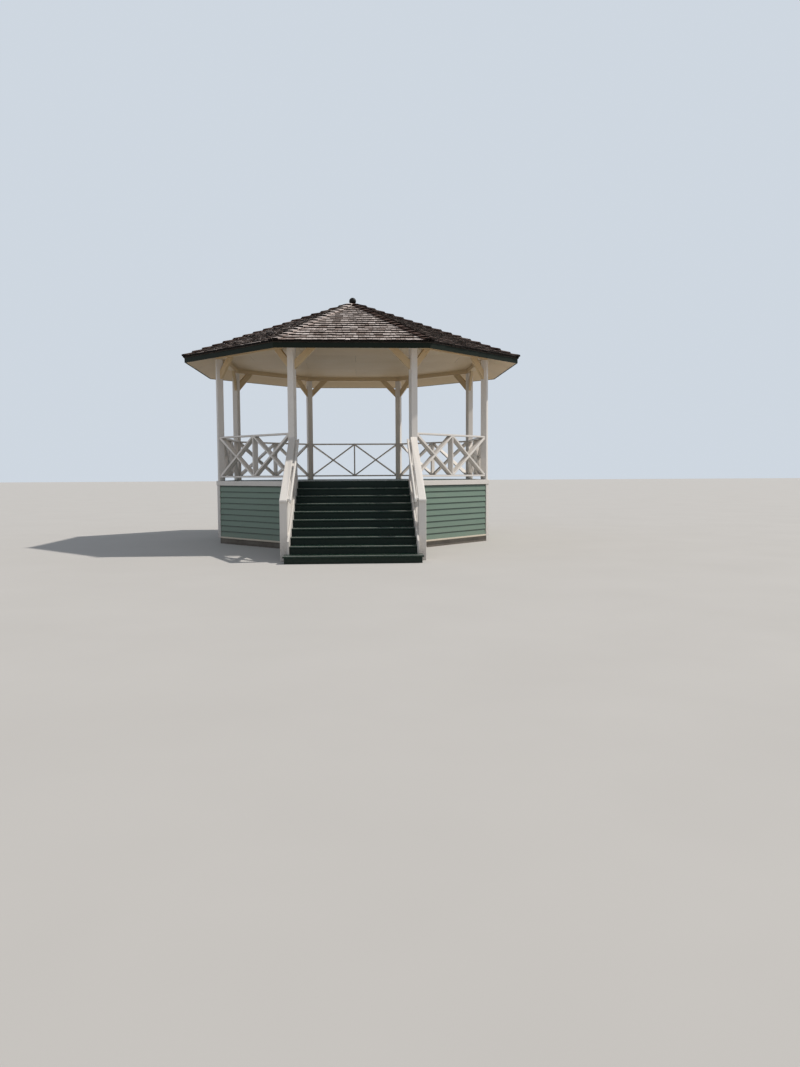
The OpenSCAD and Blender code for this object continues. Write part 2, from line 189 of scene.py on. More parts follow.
class Timber:
    # gathers boards into one mesh; each board has its own grain place and tone
    def __init__(self, seed):
        self.rng = np.random.default_rng(seed)
        self.points, self.grain, self.tone, self.mark = [], [], [], []
        self.faces, self.eased, self.finish = [], [], []
        self.count = 0

    def gather(self, points, faces, grain, tone, eased, finish=0, mark=None):
        self.faces += [[v + self.count for v in ring] for ring in faces]
        self.eased += list(eased)
        self.finish += [finish] * len(faces)
        self.points.append(np.asarray(points, float))
        self.grain.append(np.asarray(grain, float))
        self.tone.append(np.asarray(tone, float))
        self.mark.append(np.zeros(len(points)) if mark is None else mark)
        self.count += len(points)

    def place(self, points, matrix, fit=None):
        points = np.asarray(points, float)
        return moved(fit(points) if fit else points, matrix)

    def corners(self, corners, ease, matrix, fit=None, finish=0):
        # eight corners in the order of an array [i][j][k]: i along the grain, j and k across it
        c = np.asarray(corners, float).reshape(2, 2, 2, 3)
        ends = [c.mean(across) for across in ((1, 2), (0, 2), (0, 1))]
        size = [max(np.linalg.norm(end[1] - end[0]), 1e-4) for end in ends]
        share = [min(ease / s, 0.3) for s in size]
        points, grain = [], []
        for corner in boxCorners:
            for a in range(3):
                t = [corner[b] if b == a else share[b] + (1 - 2 * share[b]) * corner[b] for b in range(3)]
                weight = np.einsum("i,j,k->ijk", *[(1 - part, part) for part in t])
                points.append((c * weight[..., None]).sum((0, 1, 2)))
                grain.append([t[b] * size[b] for b in range(3)])
        along, across, up = c[1, 0, 0] - c[0, 0, 0], c[0, 1, 0] - c[0, 0, 0], c[0, 0, 1] - c[0, 0, 0]
        faces = boxFlat + boxEased
        if np.dot(np.cross(along, across), up) < 0:
            faces = [ring[::-1] for ring in faces]
        grain = np.array(grain) + self.rng.uniform(0, 40, 3)
        self.gather(self.place(points, matrix, fit), faces, grain, [self.rng.random()] * len(points),
                    [0] * len(boxFlat) + [1] * len(boxEased), finish)

    def box(self, low, high, ease, matrix, fit=None, finish=0):
        # the grain runs along the longest side
        size = [high[n] - low[n] for n in range(3)]
        order = [size.index(max(size))]
        order += [n for n in range(3) if n != order[0]]
        corners = []
        for ends in np.ndindex(2, 2, 2):
            p = [0, 0, 0]
            for axis, end in zip(order, ends):
                p[axis] = high[axis] if end else low[axis]
            corners.append(p)
        self.corners(corners, ease, matrix, fit, finish)

    def plate(self, outline, depth, matrix, ease, angle=0.0, fit=None, along=False):
        # a flat board sawn to an anticlockwise outline; the grain runs at angle, or along the depth
        p = np.array(outline, float)
        n = len(p)
        edge = np.roll(p, -1, 0) - p
        edge /= np.linalg.norm(edge, axis=1)[:, None]
        normal = np.stack([edge[:, 1], -edge[:, 0]], 1)
        before = np.roll(normal, 1, 0)
        inset = p - ease * (normal + before) / (1 + (normal * before).sum(1))[:, None]
        rings = [(inset, 0), (p, ease), (p, depth - ease), (inset, depth)]
        points = np.concatenate([np.column_stack([q, np.full(n, z)]) for q, z in rings])
        faces, eased = [list(range(n))[::-1], list(range(3 * n, 4 * n))], [0, 0]
        for level in range(3):
            for v in range(n):
                w = (v + 1) % n
                faces.append([level * n + v, level * n + w, (level + 1) * n + w, (level + 1) * n + v])
                eased.append(0 if level == 1 else 1)
        x, y, z = points.T
        s, c = math.sin(angle), math.cos(angle)
        grain = np.column_stack([z, x, y] if along else [x * c + y * s, y * c - x * s, z])
        self.gather(self.place(points, matrix, fit), faces, grain + self.rng.uniform(0, 40, 3),
                    [self.rng.random()] * len(points), eased)

    def take(self, mesh, matrix, finish=0, fit=None):
        # adds a mesh that a recipe has grown, with its own grain and tone
        faces = [list(f.vertices) for f in mesh.polygons]
        self.gather(self.place(stored(mesh, "position", 3), matrix, fit), faces, stored(mesh, "grainPos", 3),
                    stored(mesh, "boardTone"), [0] * len(faces), finish, stored(mesh, "mark"))
        bpy.data.meshes.remove(mesh)

    def piece(self, name, node, slot, *finishNames, smooth=False):
        mesh = bpy.data.meshes.new(name)
        mesh.from_pydata(np.concatenate(self.points).tolist(), [], self.faces)
        mark = np.concatenate(self.mark)
        store(mesh, "grainPos", np.concatenate(self.grain), "FLOAT_VECTOR")
        store(mesh, "boardTone", np.concatenate(self.tone))
        if mark.max() > 0:
            store(mesh, "mark", mark)
        store(mesh, "easedEdge", self.eased, domain="FACE")
        for finishName in finishNames:
            mesh.materials.append(finishes[finishName])
        mesh.polygons.foreach_set("material_index", self.finish)
        mesh.polygons.foreach_set("use_smooth", [smooth] * len(mesh.polygons))
        mesh.update()
        obj = shown(name, mesh)
        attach(obj, "root")
        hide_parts(node)


# nodes as expressions
def mathNode(operation, turned=False):
    # works on a socket and another value, or turned about, on the value and the socket
    def result(self, other):
        a, b = (other, self) if turned else (self, other)
        return self.graph.node("ShaderNodeMath", {0: a, 1: b}, operation=operation)
    return result


class Reading:
    # a socket that can be added, multiplied and so on
    __add__, __radd__ = mathNode("ADD"), mathNode("ADD", True)
    __sub__, __rsub__ = mathNode("SUBTRACT"), mathNode("SUBTRACT", True)
    __mul__, __rmul__ = mathNode("MULTIPLY"), mathNode("MULTIPLY", True)
    __truediv__ = mathNode("DIVIDE")
    __gt__, __lt__ = mathNode("GREATER_THAN"), mathNode("LESS_THAN")
    least, most = mathNode("MINIMUM"), mathNode("MAXIMUM")

    def __init__(self, graph, socket):
        self.graph, self.socket = graph, socket

    def floor(self):
        return self.graph.node("ShaderNodeMath", {0: self}, operation="FLOOR")

    def absolute(self):
        return self.graph.node("ShaderNodeMath", {0: self}, operation="ABSOLUTE")

    def clamped(self):
        return self.graph.node("ShaderNodeClamp", {0: self, 1: 0.0, 2: 1.0})


class Graph:
    def __init__(self, tree):
        self.tree = tree

    def node(self, kind, sockets=None, output=0, **settings):
        made = self.tree.nodes.new(kind)
        for key, value in settings.items():
            setattr(made, key, value)
        for key, value in (sockets or {}).items():
            if isinstance(value, Reading):
                self.tree.links.new(value.socket, made.inputs[key])
            else:
                made.inputs[key].default_value = value
        return Reading(self, made.outputs[output]) if len(made.outputs) else None

    def parts(self, vector):
        split = self.node("ShaderNodeSeparateXYZ", {0: vector}).socket.node
        return [Reading(self, socket) for socket in split.outputs]

    def vector(self, x, y, z):
        return self.node("ShaderNodeCombineXYZ", {0: x, 1: y, 2: z})

    def noise(self, vector, scale, detail=3.0, rough=0.55):
        sockets = {"Vector": vector, "Scale": scale, "Detail": detail, "Roughness": rough}
        return self.node("ShaderNodeTexNoise", sockets)


def opaque(colour):
    return (*colour, 1) if isinstance(colour, tuple) else colour


class Finish(Graph):
    def __init__(self, name):
        self.material = bpy.data.materials.new(name)
        self.material.use_nodes = True
        super().__init__(self.material.node_tree)
        self.tree.nodes.clear()
        self.place = self.node("ShaderNodeTexCoord", output="Object")

    def attribute(self, name, output="Fac"):
        return self.node("ShaderNodeAttribute", output=output, attribute_name=name)

    def scaled(self, vector, x, y, z):
        return self.node("ShaderNodeVectorMath", {0: vector, 1: (x, y, z)}, operation="MULTIPLY")

    def ramp(self, value, *stops):
        made = self.node("ShaderNodeValToRGB", {0: value})
        elements = made.socket.node.color_ramp.elements
        while len(elements) < len(stops):
            elements.new(0.5)
        for element, (place, colour) in zip(elements, stops):
            element.position, element.color = place, opaque(colour)
        return made

    def span(self, value, low, high, newLow=0.0, newHigh=1.0):
        return self.node("ShaderNodeMapRange", {0: value, 1: low, 2: high, 3: newLow, 4: newHigh}, clamp=True)

    def mix(self, factor, a, b, way="MIX"):
        sockets = {0: factor, 6: opaque(a), 7: opaque(b)}
        return self.node("ShaderNodeMix", sockets, 2, data_type="RGBA", blend_type=way)

    def bump(self, height, strength, distance):
        return self.node("ShaderNodeBump", {"Height": height, "Strength": strength, "Distance": distance})

    def close(self, colour, rough, normal=None, **fixed):
        sockets = {"Base Color": colour, "Roughness": rough}
        if normal is not None:
            sockets["Normal"] = normal
        sockets.update({key.replace("_", " "): value for key, value in fixed.items()})
        shader = self.node("ShaderNodeBsdfPrincipled", sockets)
        self.node("ShaderNodeOutputMaterial", {"Surface": shader})
        return self.material


# dust in patches, and dirt splashed up from the ground, which thins out between the two heights
soiling = {"dust": (0.42, 0.39, 0.33), "splash": (0.17, 0.13, 0.09), "splashFull": 0.02, "splashEnd": 0.55}
# wear bares what is under the paint; the mark is painted shade under a lap, or on a step's nose worn paint
# that is also painted lighter as a painted highlight
paints = {
    "whitePaint": {"colour": (0.74, 0.70, 0.655), "rough": 0.42, "wear": 0.30},
    "railPaint": {"colour": (0.76, 0.72, 0.675), "rough": 0.40},
    "creamPaint": {"colour": (0.58, 0.435, 0.255), "rough": 0.50, "wear": 0.15, "dirt": 0.0},
    "sidingGreen": {"colour": (0.165, 0.236, 0.182), "rough": 0.45, "wear": 0.15, "dirt": 0.45,
                    "streak": 0.14, "dust": 0.10,
                    # the siding's mark is painted shade: dark paint over the top of each lap's face, under
                    # the lap above
                    "paintedLightAndWear": {"colour": (0.026, 0.038, 0.029), "share": 0.8, "start": 0.60, "full": 0.86,
                               "ragged": 0.12}},
    "stepGreen": {"colour": (0.006, 0.026, 0.017), "rough": 0.28, "coat": 0.10, "wear": 0.12, "dirt": 0.10,
                  "under": (0.10, 0.09, 0.07), "dust": 0.04, "shine": 0.25,
                  # the steps' mark is worn, dusty paint on each nose, painted paler still as a painted
                  # highlight
                  "paintedLightAndWear": {"colour": (0.26, 0.275, 0.25), "share": 0.85, "start": 0.35, "full": 0.95,
                             "ragged": 0.8}},
    "deckGreen": {"colour": (0.008, 0.034, 0.022), "rough": 0.46, "wear": 0.22, "dirt": 0.0,
                  "under": (0.09, 0.08, 0.06), "dust": 0.08, "shine": 0.35},
    "riserGreen": {"colour": (0.003, 0.015, 0.010), "rough": 0.40, "wear": 0.06, "dirt": 0.12,
                   "under": (0.06, 0.05, 0.04), "dust": 0.02, "shine": 0.2},
    "fasciaGreen": {"colour": (0.007, 0.012, 0.007), "rough": 0.55, "wear": 0.15, "dirt": 0.0,
                    "under": (0.06, 0.05, 0.04), "dust": 0.02, "shine": 0.14},
    "sillPaint": {"colour": (0.70, 0.62, 0.50), "rough": 0.60, "dirt": 0.12, "dust": 0.10},
}


def paintOnWood(name, colour, rough, coat=0.0, wear=0.25, dirt=0.5, under=(0.30, 0.24, 0.17), streak=0.10,
                dust=0.20, shine=0.5, paintedLightAndWear=None):
    # brushed house paint over sawn boards: tone by board, brush lines, worn edges, splashed dirt low down
    f = Finish(name)
    grain = f.attribute("grainPos", "Vector")
    tone, eased = f.attribute("boardTone"), f.attribute("easedEdge")
    lines = f.noise(f.scaled(grain, 1.1, 34.0, 34.0), 2.0, 4.0, 0.6)
    patch = f.noise(f.place, 1.7)
    spots = f.noise(f.place, 23.0, 4.0, 0.65)
    shade = 1.0 - 0.5 * streak + streak * lines + 0.07 * (patch - 0.5) + 0.08 * (tone - 0.5)
    base = f.mix(1.0, colour, f.vector(shade, shade, shade), "MULTIPLY")
    base = f.mix(f.span(spots * 0.5 + patch * 0.5, 0.50, 0.72) * dust, base, soiling["dust"])
    # painted light: the mark darkens the siding under each lap as painted shade, and lightens the step noses
    # as worn paint and a painted highlight
    if paintedLightAndWear:
        mark = f.attribute("mark") + paintedLightAndWear["ragged"] * (spots + patch - 1.0)
        base = f.mix(f.span(mark, paintedLightAndWear["start"], paintedLightAndWear["full"]) * paintedLightAndWear["share"], base, paintedLightAndWear["colour"])
    height = f.parts(f.place)[2] + 0.25 * (patch - 0.5)
    low = f.span(height, soiling["splashEnd"], soiling["splashFull"]) * f.span(spots, 0.35, 0.75) * dirt
    base = f.mix(low, base, soiling["splash"])
    worn = f.span(spots * 0.6 + lines * 0.4 + 0.10 * eased, 0.66 - 0.06 * wear, 0.72) * wear
    base = f.mix(worn, base, under)
    roughness = f.span(patch * 0.6 + spots * 0.4, 0.3, 0.7, rough - 0.08, rough + 0.10)
    relief = f.bump(lines * 0.6 + spots * 0.25 - worn * 0.8, 0.30, 0.002)
    return f.close(base, roughness, relief, Coat_Weight=coat, Coat_Roughness=0.18, Specular_IOR_Level=shine)


def sawnTimber(name, dark, light):
    f = Finish(name)
    lines = f.noise(f.scaled(f.place, 22.0, 1.6, 30.0), 2.0, 5.0, 0.6)
    patch = f.noise(f.place, 2.4)
    palest = tuple(c * 1.12 for c in light)
    base = f.ramp(lines * 0.7 + patch * 0.3, (0.30, dark), (0.62, light), (0.85, palest))
    return f.close(base, f.span(lines, 0.3, 0.7, 0.62, 0.82), f.bump(lines, 0.4, 0.002))


def castConcrete(name):
    # darker towards the ground
    f = Finish(name)
    patch = f.noise(f.place, 2.3, 4.0)
    grit = f.noise(f.place, 85.0, 4.0, 0.7)
    darkLow = f.span(f.parts(f.place)[2] + 0.08 * (patch - 0.5), 0.11, 0.0)
    base = f.ramp(patch * 0.6 + grit * 0.4,
                  (0.3, (0.13, 0.11, 0.09)), (0.55, (0.22, 0.20, 0.17)), (0.8, (0.30, 0.27, 0.23)))
    base = f.mix(darkLow * 0.6, base, (0.07, 0.055, 0.04))
    return f.close(base, f.span(grit, 0.3, 0.7, 0.75, 0.92), f.bump(grit + patch * 0.4, 0.5, 0.004))


def cedarShake(name):
    # weathered cedar: silver tops, red-brown where the grain opens, dark joints, some moss; the butts are
    # painted near black as painted shade
    f = Finish(name)
    grain = f.attribute("grainPos", "Vector")
    lines = f.noise(f.scaled(grain, 70.0, 3.0, 70.0), 1.0, 5.0, 0.65)
    bands = f.noise(f.scaled(grain, 18.0, 1.2, 18.0), 1.0)
    patch = f.noise(f.place, 1.1, 4.0, 0.6)
    tone = 0.44 * f.attribute("boardTone") + 0.22 * lines + 0.16 * bands + 0.24 * patch - 0.07
    base = f.ramp(tone, (0.20, (0.028, 0.015, 0.011)), (0.36, (0.092, 0.053, 0.041)),
                  (0.52, (0.225, 0.168, 0.143)), (0.70, (0.70, 0.615, 0.575)))
    base = f.mix(f.span(lines, 0.42, 0.28) * 0.8, base, (0.020, 0.014, 0.010))
    # painted shade: the butts, where the mark lies, are painted near black
    base = f.mix(f.attribute("mark"), base, (0.006, 0.004, 0.003))
    moss = f.span(f.noise(f.place, 4.3, 4.0, 0.6), 0.60, 0.74) * 0.25
    base = f.mix(moss, base, (0.05, 0.055, 0.025))
    relief = f.bump(lines * 0.8 + bands * 0.4, 0.55, 0.004)
    return f.close(base, f.span(lines, 0.3, 0.7, 0.68, 0.88), relief, Specular_IOR_Level=0.12)


def darkMetal(name):
    f = Finish(name)
    patch = f.noise(f.place, 14.0, 4.0)
    fine = f.noise(f.place, 120.0)
    base = f.ramp(patch * 0.7 + fine * 0.3,
                  (0.3, (0.004, 0.004, 0.004)), (0.6, (0.009, 0.0085, 0.008)), (0.8, (0.024, 0.020, 0.017)))
    relief = f.bump(fine, 0.15, 0.001)
    return f.close(base, f.span(patch, 0.3, 0.7, 0.42, 0.6), relief, Specular_IOR_Level=0.18)


def galvanised(name):
    f = Finish(name)
    patch = f.noise(f.place, 60.0)
    base = f.ramp(patch, (0.3, (0.20, 0.19, 0.18)), (0.7, (0.42, 0.41, 0.40)))
    return f.close(base, f.span(patch, 0.3, 0.7, 0.35, 0.55), Metallic=0.8)


finishes = {name: paintOnWood(name, **paint) for name, paint in paints.items()}
finishes["bareTimber"] = sawnTimber("bareTimber", (0.16, 0.105, 0.06), (0.40, 0.29, 0.17))
# painted shade: the roof boarding, seen only at its edge under the eave, is near black as painted shade
finishes["boarding"] = sawnTimber("boarding", (0.015, 0.010, 0.007), (0.045, 0.031, 0.021))
for finishName, make in (("concrete", castConcrete), ("cedarShake", cedarShake), ("darkMetal", darkMetal),
                         ("galvanised", galvanised)):
    finishes[finishName] = make(finishName)
print("finishes ready:", len(finishes))


# recipes: trees that grow repeated work
class Recipe(Graph):
    def __init__(self, name, sizes):
        super().__init__(bpy.data.node_groups.new(name, "GeometryNodeTree"))
        self.defaults, self.keys = dict(sizes), {}
        sockets = self.tree.interface
        sockets.new_socket(name="Geometry", in_out="INPUT", socket_type="NodeSocketGeometry")
        for key, value in sizes.items():
            kind = "NodeSocketInt" if isinstance(value, int) else "NodeSocketFloat"
            self.keys[key] = sockets.new_socket(name=key, in_out="INPUT", socket_type=kind).identifier
        sockets.new_socket(name="Geometry", in_out="OUTPUT", socket_type="NodeSocketGeometry")
        given = self.tree.nodes.new("NodeGroupInput")
        self.start = Reading(self, given.outputs[0])
        self.sizes = {key: Reading(self, given.outputs[n + 1]) for n, key in enumerate(sizes)}

    def keep(self, geometry, kind="FLOAT", **values):
        # stores values by name on the points
        for name, value in values.items():
            sockets = {"Geometry": geometry, "Name": name, "Value": value}
            geometry = self.node("GeometryNodeStoreNamedAttribute", sockets, data_type=kind, domain="POINT")
        return geometry

    def named(self, name, kind="FLOAT"):
        return self.node("GeometryNodeInputNamedAttribute", {"Name": name}, data_type=kind)

    def allNamed(self, names):
        return [self.named(name) for name in names.split()]

    def chance(self, low, high, number, shift=0.0):
        sockets = {2: low, 3: high, "ID": number, "Seed": self.sizes["seed"] + shift}
        return self.node("FunctionNodeRandomValue", sockets, 1, data_type="FLOAT")

    def spots(self, count):
        return self.node("GeometryNodeMeshLine", {"Count": count, "Offset": (0, 0, 0)}, mode="OFFSET")

    def grid(self, x, y, z):
        # a unit block with that many points each way, and its own place kept as u, v and w
        sockets = {"Size": (1, 1, 1), "Vertices X": x, "Vertices Y": y, "Vertices Z": z}
        u, v, w = self.parts(self.node("GeometryNodeInputPosition"))
        return self.keep(self.node("GeometryNodeMeshCube", sockets), u=u + 0.5, v=v + 0.5, w=w + 0.5)

    def spread(self, points, block, **more):
        sockets = {"Points": points, "Instance": block, **more}
        placed = self.node("GeometryNodeInstanceOnPoints", sockets)
        return self.node("GeometryNodeRealizeInstances", {"Geometry": placed})

    def rows(self, count, block, toneLow=0.0, toneHigh=1.0, **chances):
        # one block to a row, which keeps its row, tone, place in the grain, and (low, high, shift) chances
        number = self.node("GeometryNodeInputIndex")
        points = self.keep(self.spots(count), row=number, boardTone=self.chance(toneLow, toneHigh, number),
                           own=self.chance(0.0, 40.0, number, 3.0))
        for name, (low, high, shift) in chances.items():
            points = self.keep(points, **{name: self.chance(low, high, number, shift)})
        return self.spread(points, self.grid(*block))

    def move(self, geometry, x, y, z):
        return self.node("GeometryNodeSetPosition", {"Geometry": geometry, "Position": self.vector(x, y, z)})

    def close(self, geometry, finishName, grainPos, **values):
        made = self.keep(self.keep(geometry, "FLOAT_VECTOR", grainPos=grainPos), **values)
        painted = self.node("GeometryNodeSetMaterial", {"Geometry": made, "Material": finishes[finishName]})
        ended = self.tree.nodes.new("NodeGroupOutput")
        self.tree.links.new(painted.socket, ended.inputs[0])
        return self

    def grow(self, spots=None, **changes):
        carrier = shown("carrier", spots or bpy.data.meshes.new("carrier"))
        step = carrier.modifiers.new("grow", "NODES")
        step.node_group = self.tree
        for key, value in {**self.defaults, **changes}.items():
            step[self.keys[key]] = value
        seen = bpy.context.evaluated_depsgraph_get()
        grown = carrier.evaluated_get(seen)
        mesh = bpy.data.meshes.new_from_object(grown, preserve_all_data_layers=True, depsgraph=seen)
        carrier.modifiers.remove(step)
        bpy.data.objects.remove(carrier)
        return mesh


def between(value, stops):
    # straight lines through (at, gives) pairs, at in rising order
    total = stops[0][1]
    for (a, p), (b, q) in zip(stops, stops[1:]):
        total = total + ((value - a) / (b - a)).clamped() * (q - p)
    return total


# shakes laid course over course on one slope, cut along the hips
shakes = {"perCourse": 30, "widthLow": 0.075, "widthHigh": 0.180, "gap": 0.008, "least": 0.012,
          "hipGap": 0.004, "butt": 0.0245, "thinnest": 0.004, "liftLow": 0.82, "liftHigh": 1.20,
          "cover": 1.35, "nose": 0.003, "slipLow": -0.016, "slipHigh": 0.012, "firstUp": 0.006, "cup": 0.004,
          "skew": 0.008, "ragged": 0.010, "rough": 0.006, "bed": 0.001}


def shakeRecipe():
    exposure = (eaveA - layout["peakA"]) / layout["courses"]
    r = Recipe("shakeSlope", {"courses": layout["courses"], "eaveA": eaveA, "exposure": exposure, "sink": 0.0,
                              "toneLow": 0.0, "toneHigh": 1.0, "seed": 1, **shakes})
    s = r.sizes
    number = r.node("GeometryNodeInputIndex")
    course = (number / s["perCourse"] + 0.0001).floor()
    wide = r.chance(s["widthLow"], s["widthHigh"], number)
    before = r.node("GeometryNodeAccumulateField", {0: wide, "Group ID": course}, 1, data_type="FLOAT",
                    domain="POINT")
    low = s["eaveA"] - course * s["exposure"]
    left = before - low * flatRun - r.chance(0.0, s["widthHigh"], course, 7.0)
    points = r.keep(r.spots(s["courses"] * s["perCourse"]), left=left, wide=wide, low=low, course=course,
                    boardTone=r.chance(s["toneLow"], s["toneHigh"], number, 11.0),
                    slip=r.chance(s["slipLow"], s["slipHigh"], number, 13.0),
                    lift=r.chance(s["liftLow"], s["liftHigh"], number, 17.0),
                    cup=r.chance(0 - s["cup"], s["cup"], number, 19.0),
                    skew=r.chance(0 - s["skew"], s["skew"], number, 23.0),
                    own=r.chance(0.0, 50.0, number, 29.0))
    left, wide, low, course, slip, lift, cup, skew = r.allNamed("left wide low course slip lift cup skew")
    half = low * flatRun
    outside = (left > half - s["least"]) + (left + wide < s["least"] - half)
    points = r.node("GeometryNodeDeleteGeometry", {"Geometry": points, "Selection": outside}, domain="POINT")
    made = r.spread(points, r.grid(4, 4, 2))
    u, v, w, own = r.allNamed("u v w own")
    up = between(v, [(0, 0.0), (0.333, 0.045), (0.667, 0.55), (1, 1.0)])
    x = left + s["gap"] / 2 + u * (wide - s["gap"])
    run = up * s["exposure"] * s["cover"]
    # the first course keeps closer to its line, so that the eave stays straight
    first = course < 0.5
    slip = slip * (1 - first) + first * (slip * 0.5 - s["firstUp"])
    rough = r.noise(r.vector(u * wide * 30.0 + own, run * 4.0, own), 1.0, 2.0, 0.5) - 0.5
    a = low + slip - run + skew * (u - 0.5) * (1 - up) + s["ragged"] * rough * (1 - up)
    fall = 1 - run / s["exposure"]
    thick = s["butt"] * lift
    top = thick * fall + s["rough"] * rough + cup * (u - 0.5) * (u - 0.5) * 4.0 * fall.most(0.0)
    bottom = top - (thick * (1 - 0.75 * up)).most(s["thinnest"])
    nose = between(v, [(0, 1.0), (0.333, 0.0)])
    height = bottom + w * (top - bottom - nose * s["nose"]) + s["bed"]
    limit = (a * flatRun - s["hipGap"]).most(0.0)
    x = x.most(0 - limit).least(limit)
    made = r.move(made, x, 0 - a, roofOver - a * roofM + (height - s["sink"]) * upright)
    # the butt is the mark, painted near black as painted shade
    return r.close(made, "cedarShake", r.vector(u * wide + own, run, w * 0.02 + own), mark=nose)


# ridge shakes over the hips, two wings to each hip, laid from the eave up
ridgeShakes = {"wide": 0.115, "butt": 0.046, "thin": 0.012, "cover": 1.12, "nose": 0.003, "rough": 0.005,
               "deep": 0.018, "wedge": 0.010, "down": 0.004}


def hipRecipe():
    r = Recipe("hipWing", {"courses": layout["courses"], "start": 1.0, "end": 4.0, "toneLow": 0.0,
                           "toneHigh": 1.0, "seed": 1, **ridgeShakes})
    s = r.sizes
    made = r.rows(s["courses"], (4, 4, 2), s["toneLow"], s["toneHigh"], slip=(-0.010, 0.010, 5.0),
                  lift=(0.75, 1.10, 7.0), trim=(-0.010, 0.004, 9.0))
    u, v, w, own, row, slip, lift, trim = r.allNamed("u v w own row slip lift trim")
    run = (s["end"] - s["start"]) / s["courses"]
    up = between(v, [(0, 0.0), (0.333, 0.03), (0.667, 0.55), (1, 1.0)])
    down = s["end"] - row * run - up * run * s["cover"] + slip * (row > 0.5) - s["down"]
    rough = r.noise(r.vector(u * 4.0 + own, up * 2.0, own), 1.0, 2.0, 0.5) - 0.5
    fall = 1 - up * s["cover"]
    top = s["thin"] + (s["butt"] - s["thin"]) * lift * fall.most(-0.1) + rough * s["rough"]
    nose = between(v, [(0, 1.0), (0.333, 0.0)])
    height = (top - s["deep"] - s["wedge"] * fall).most(0.0) * (1 - w) + (top - nose * s["nose"]) * w
    across = u * (s["wide"] + trim)
    made = r.move(made, across, 0 - down, height)
    # the butt is the mark, painted near black as painted shade
    return r.close(made, "cedarShake", r.vector(across + own, down, own), mark=nose)


# lap siding, one board to a course, its lower edge standing proud and its top edge thinner
siding = {"laps": 10, "thick": 0.019, "step": 0.022, "nose": 0.0025, "bow": 0.0012, "under": 0.016,
          "feather": 0.006, "end": 0.001}


def sidingRecipe():
    r = Recipe("lapSiding", {"half": cornerX, "face": skirtA, "lap": layout["lapH"], "base": skirtLow,
                             "top": bandZ, "seed": 1, **siding})
    s = r.sizes
    made = r.rows(s["laps"], (7, 4, 2))
    u, v, w, own, row = r.allNamed("u v w own row")
    low = s["base"] + row * s["lap"]
    up = between(v, [(0.333, 0.0), (0.667, 1.0)]) * s["nose"] + (v > 0.9) * (s["lap"] + s["under"])
    z = (low + up).least(s["top"])
    wave = r.noise(r.vector(u * 3.0, own, 0.0), 1.0, 1.0, 0.5) - 0.5
    lean = s["face"] - s["step"] * (z - low) / s["lap"]
    front = lean + wave * s["bow"] - s["nose"] * (v < 0.5)
    back = lean - s["thick"] + s["feather"] * (v > 0.9)
    x = (u * 2.0 - 1.0) * (s["half"] - s["end"])
    made = r.move(made, x, 0 - (back + (1 - w) * (front - back)), z)
    # the mark rises to the top of each lap's face, where the paint is darkened as painted shade under the lap
    # above
    return r.close(made, "sidingGreen", r.vector(x + own, z, own + w * 0.01),
                   mark=between(v, [(0.667, 0.0), (1, 1.0)]))


# floor boards side by side, cut to the octagon
decking = {"boards": 45, "thick": 0.038, "gap": 0.004, "edge": 0.003}


def deckRecipe():
    r = Recipe("deckBoards", {"across": deckA, "top": floorH, "seed": 1, **decking})
    s = r.sizes
    made = r.rows(s["boards"], (2, 4, 3))
    u, v, w, own, row = r.allNamed("u v w own row")
    wide = 2.0 * s["across"] / s["boards"]
    inner = between(v, [(0.333, 0.0), (0.667, 1.0)])
    y = row * wide - s["across"] + s["gap"] / 2 + inner * (wide - s["gap"])
    y = y + s["edge"] * ((v > 0.2) * (v < 0.5) - (v > 0.5) * (v < 0.8))
    x = (u * 2.0 - 1.0) * (s["across"] * math.sqrt(2) - y.absolute()).least(s["across"])
    outer = (v < 0.2) + (v > 0.8)
    z = s["top"] - s["thick"] + between(w, [(0, 0.0), (0.5, 1.0)]) * (s["thick"] - s["edge"])
    z = z + (w > 0.9) * s["edge"] * (1 - outer)
    made = r.move(made, x, y, z)
    return r.close(made, "deckGreen", r.vector(x + own, y, own + z))


# nail and screw heads: a low dome on every point, turned to the point's own direction
def headRecipe():
    r = Recipe("nailHeads", {"radius": 0.004, "height": 0.0012})
    s = r.sizes
    dome = r.node("GeometryNodeMeshCone", {"Vertices": 8, "Side Segments": 1, "Radius Top": s["radius"] * 0.6,
                                           "Radius Bottom": s["radius"], "Depth": s["height"]})
    facing = r.named("facing", "FLOAT_VECTOR")
    turned = r.node("FunctionNodeAlignRotationToVector", {"Vector": facing}, axis="Z")
    made = r.spread(r.start, dome, Rotation=turned)
    return r.close(made, "galvanised", r.node("GeometryNodeInputPosition"), boardTone=0.5)


recipes = {"shakes": shakeRecipe(), "hip": hipRecipe(), "siding": sidingRecipe(), "deck": deckRecipe(),
           "heads": headRecipe()}
print("recipes ready:", ", ".join(recipes))


# radius and height of the heads
heads = {"nail": (0.0032, 0.0012), "deckScrew": (0.0042, 0.001), "stepScrew": (0.0045, 0.001),
         "braceBolt": (0.010, 0.006), "newelBolt": (0.011, 0.006)}


def addHeads(t, kind, spots, facing, matrix, finish=0):
    mesh = bpy.data.meshes.new("headSpots")
    mesh.from_pydata(spots, [], [])
    store(mesh, "facing", [facing] * len(spots), "FLOAT_VECTOR")
    radius, height = heads[kind]
    t.take(recipes["heads"].grow(mesh, radius=radius, height=height), matrix, finish)
    bpy.data.meshes.remove(mesh)


# base
skirtWork = {"sheath": 0.012, "stud": 0.038, "studStep": 0.40, "endGap": 0.002, "nailIn": 0.021,
             "nailUp": 0.030, "nailProud": 0.0004}


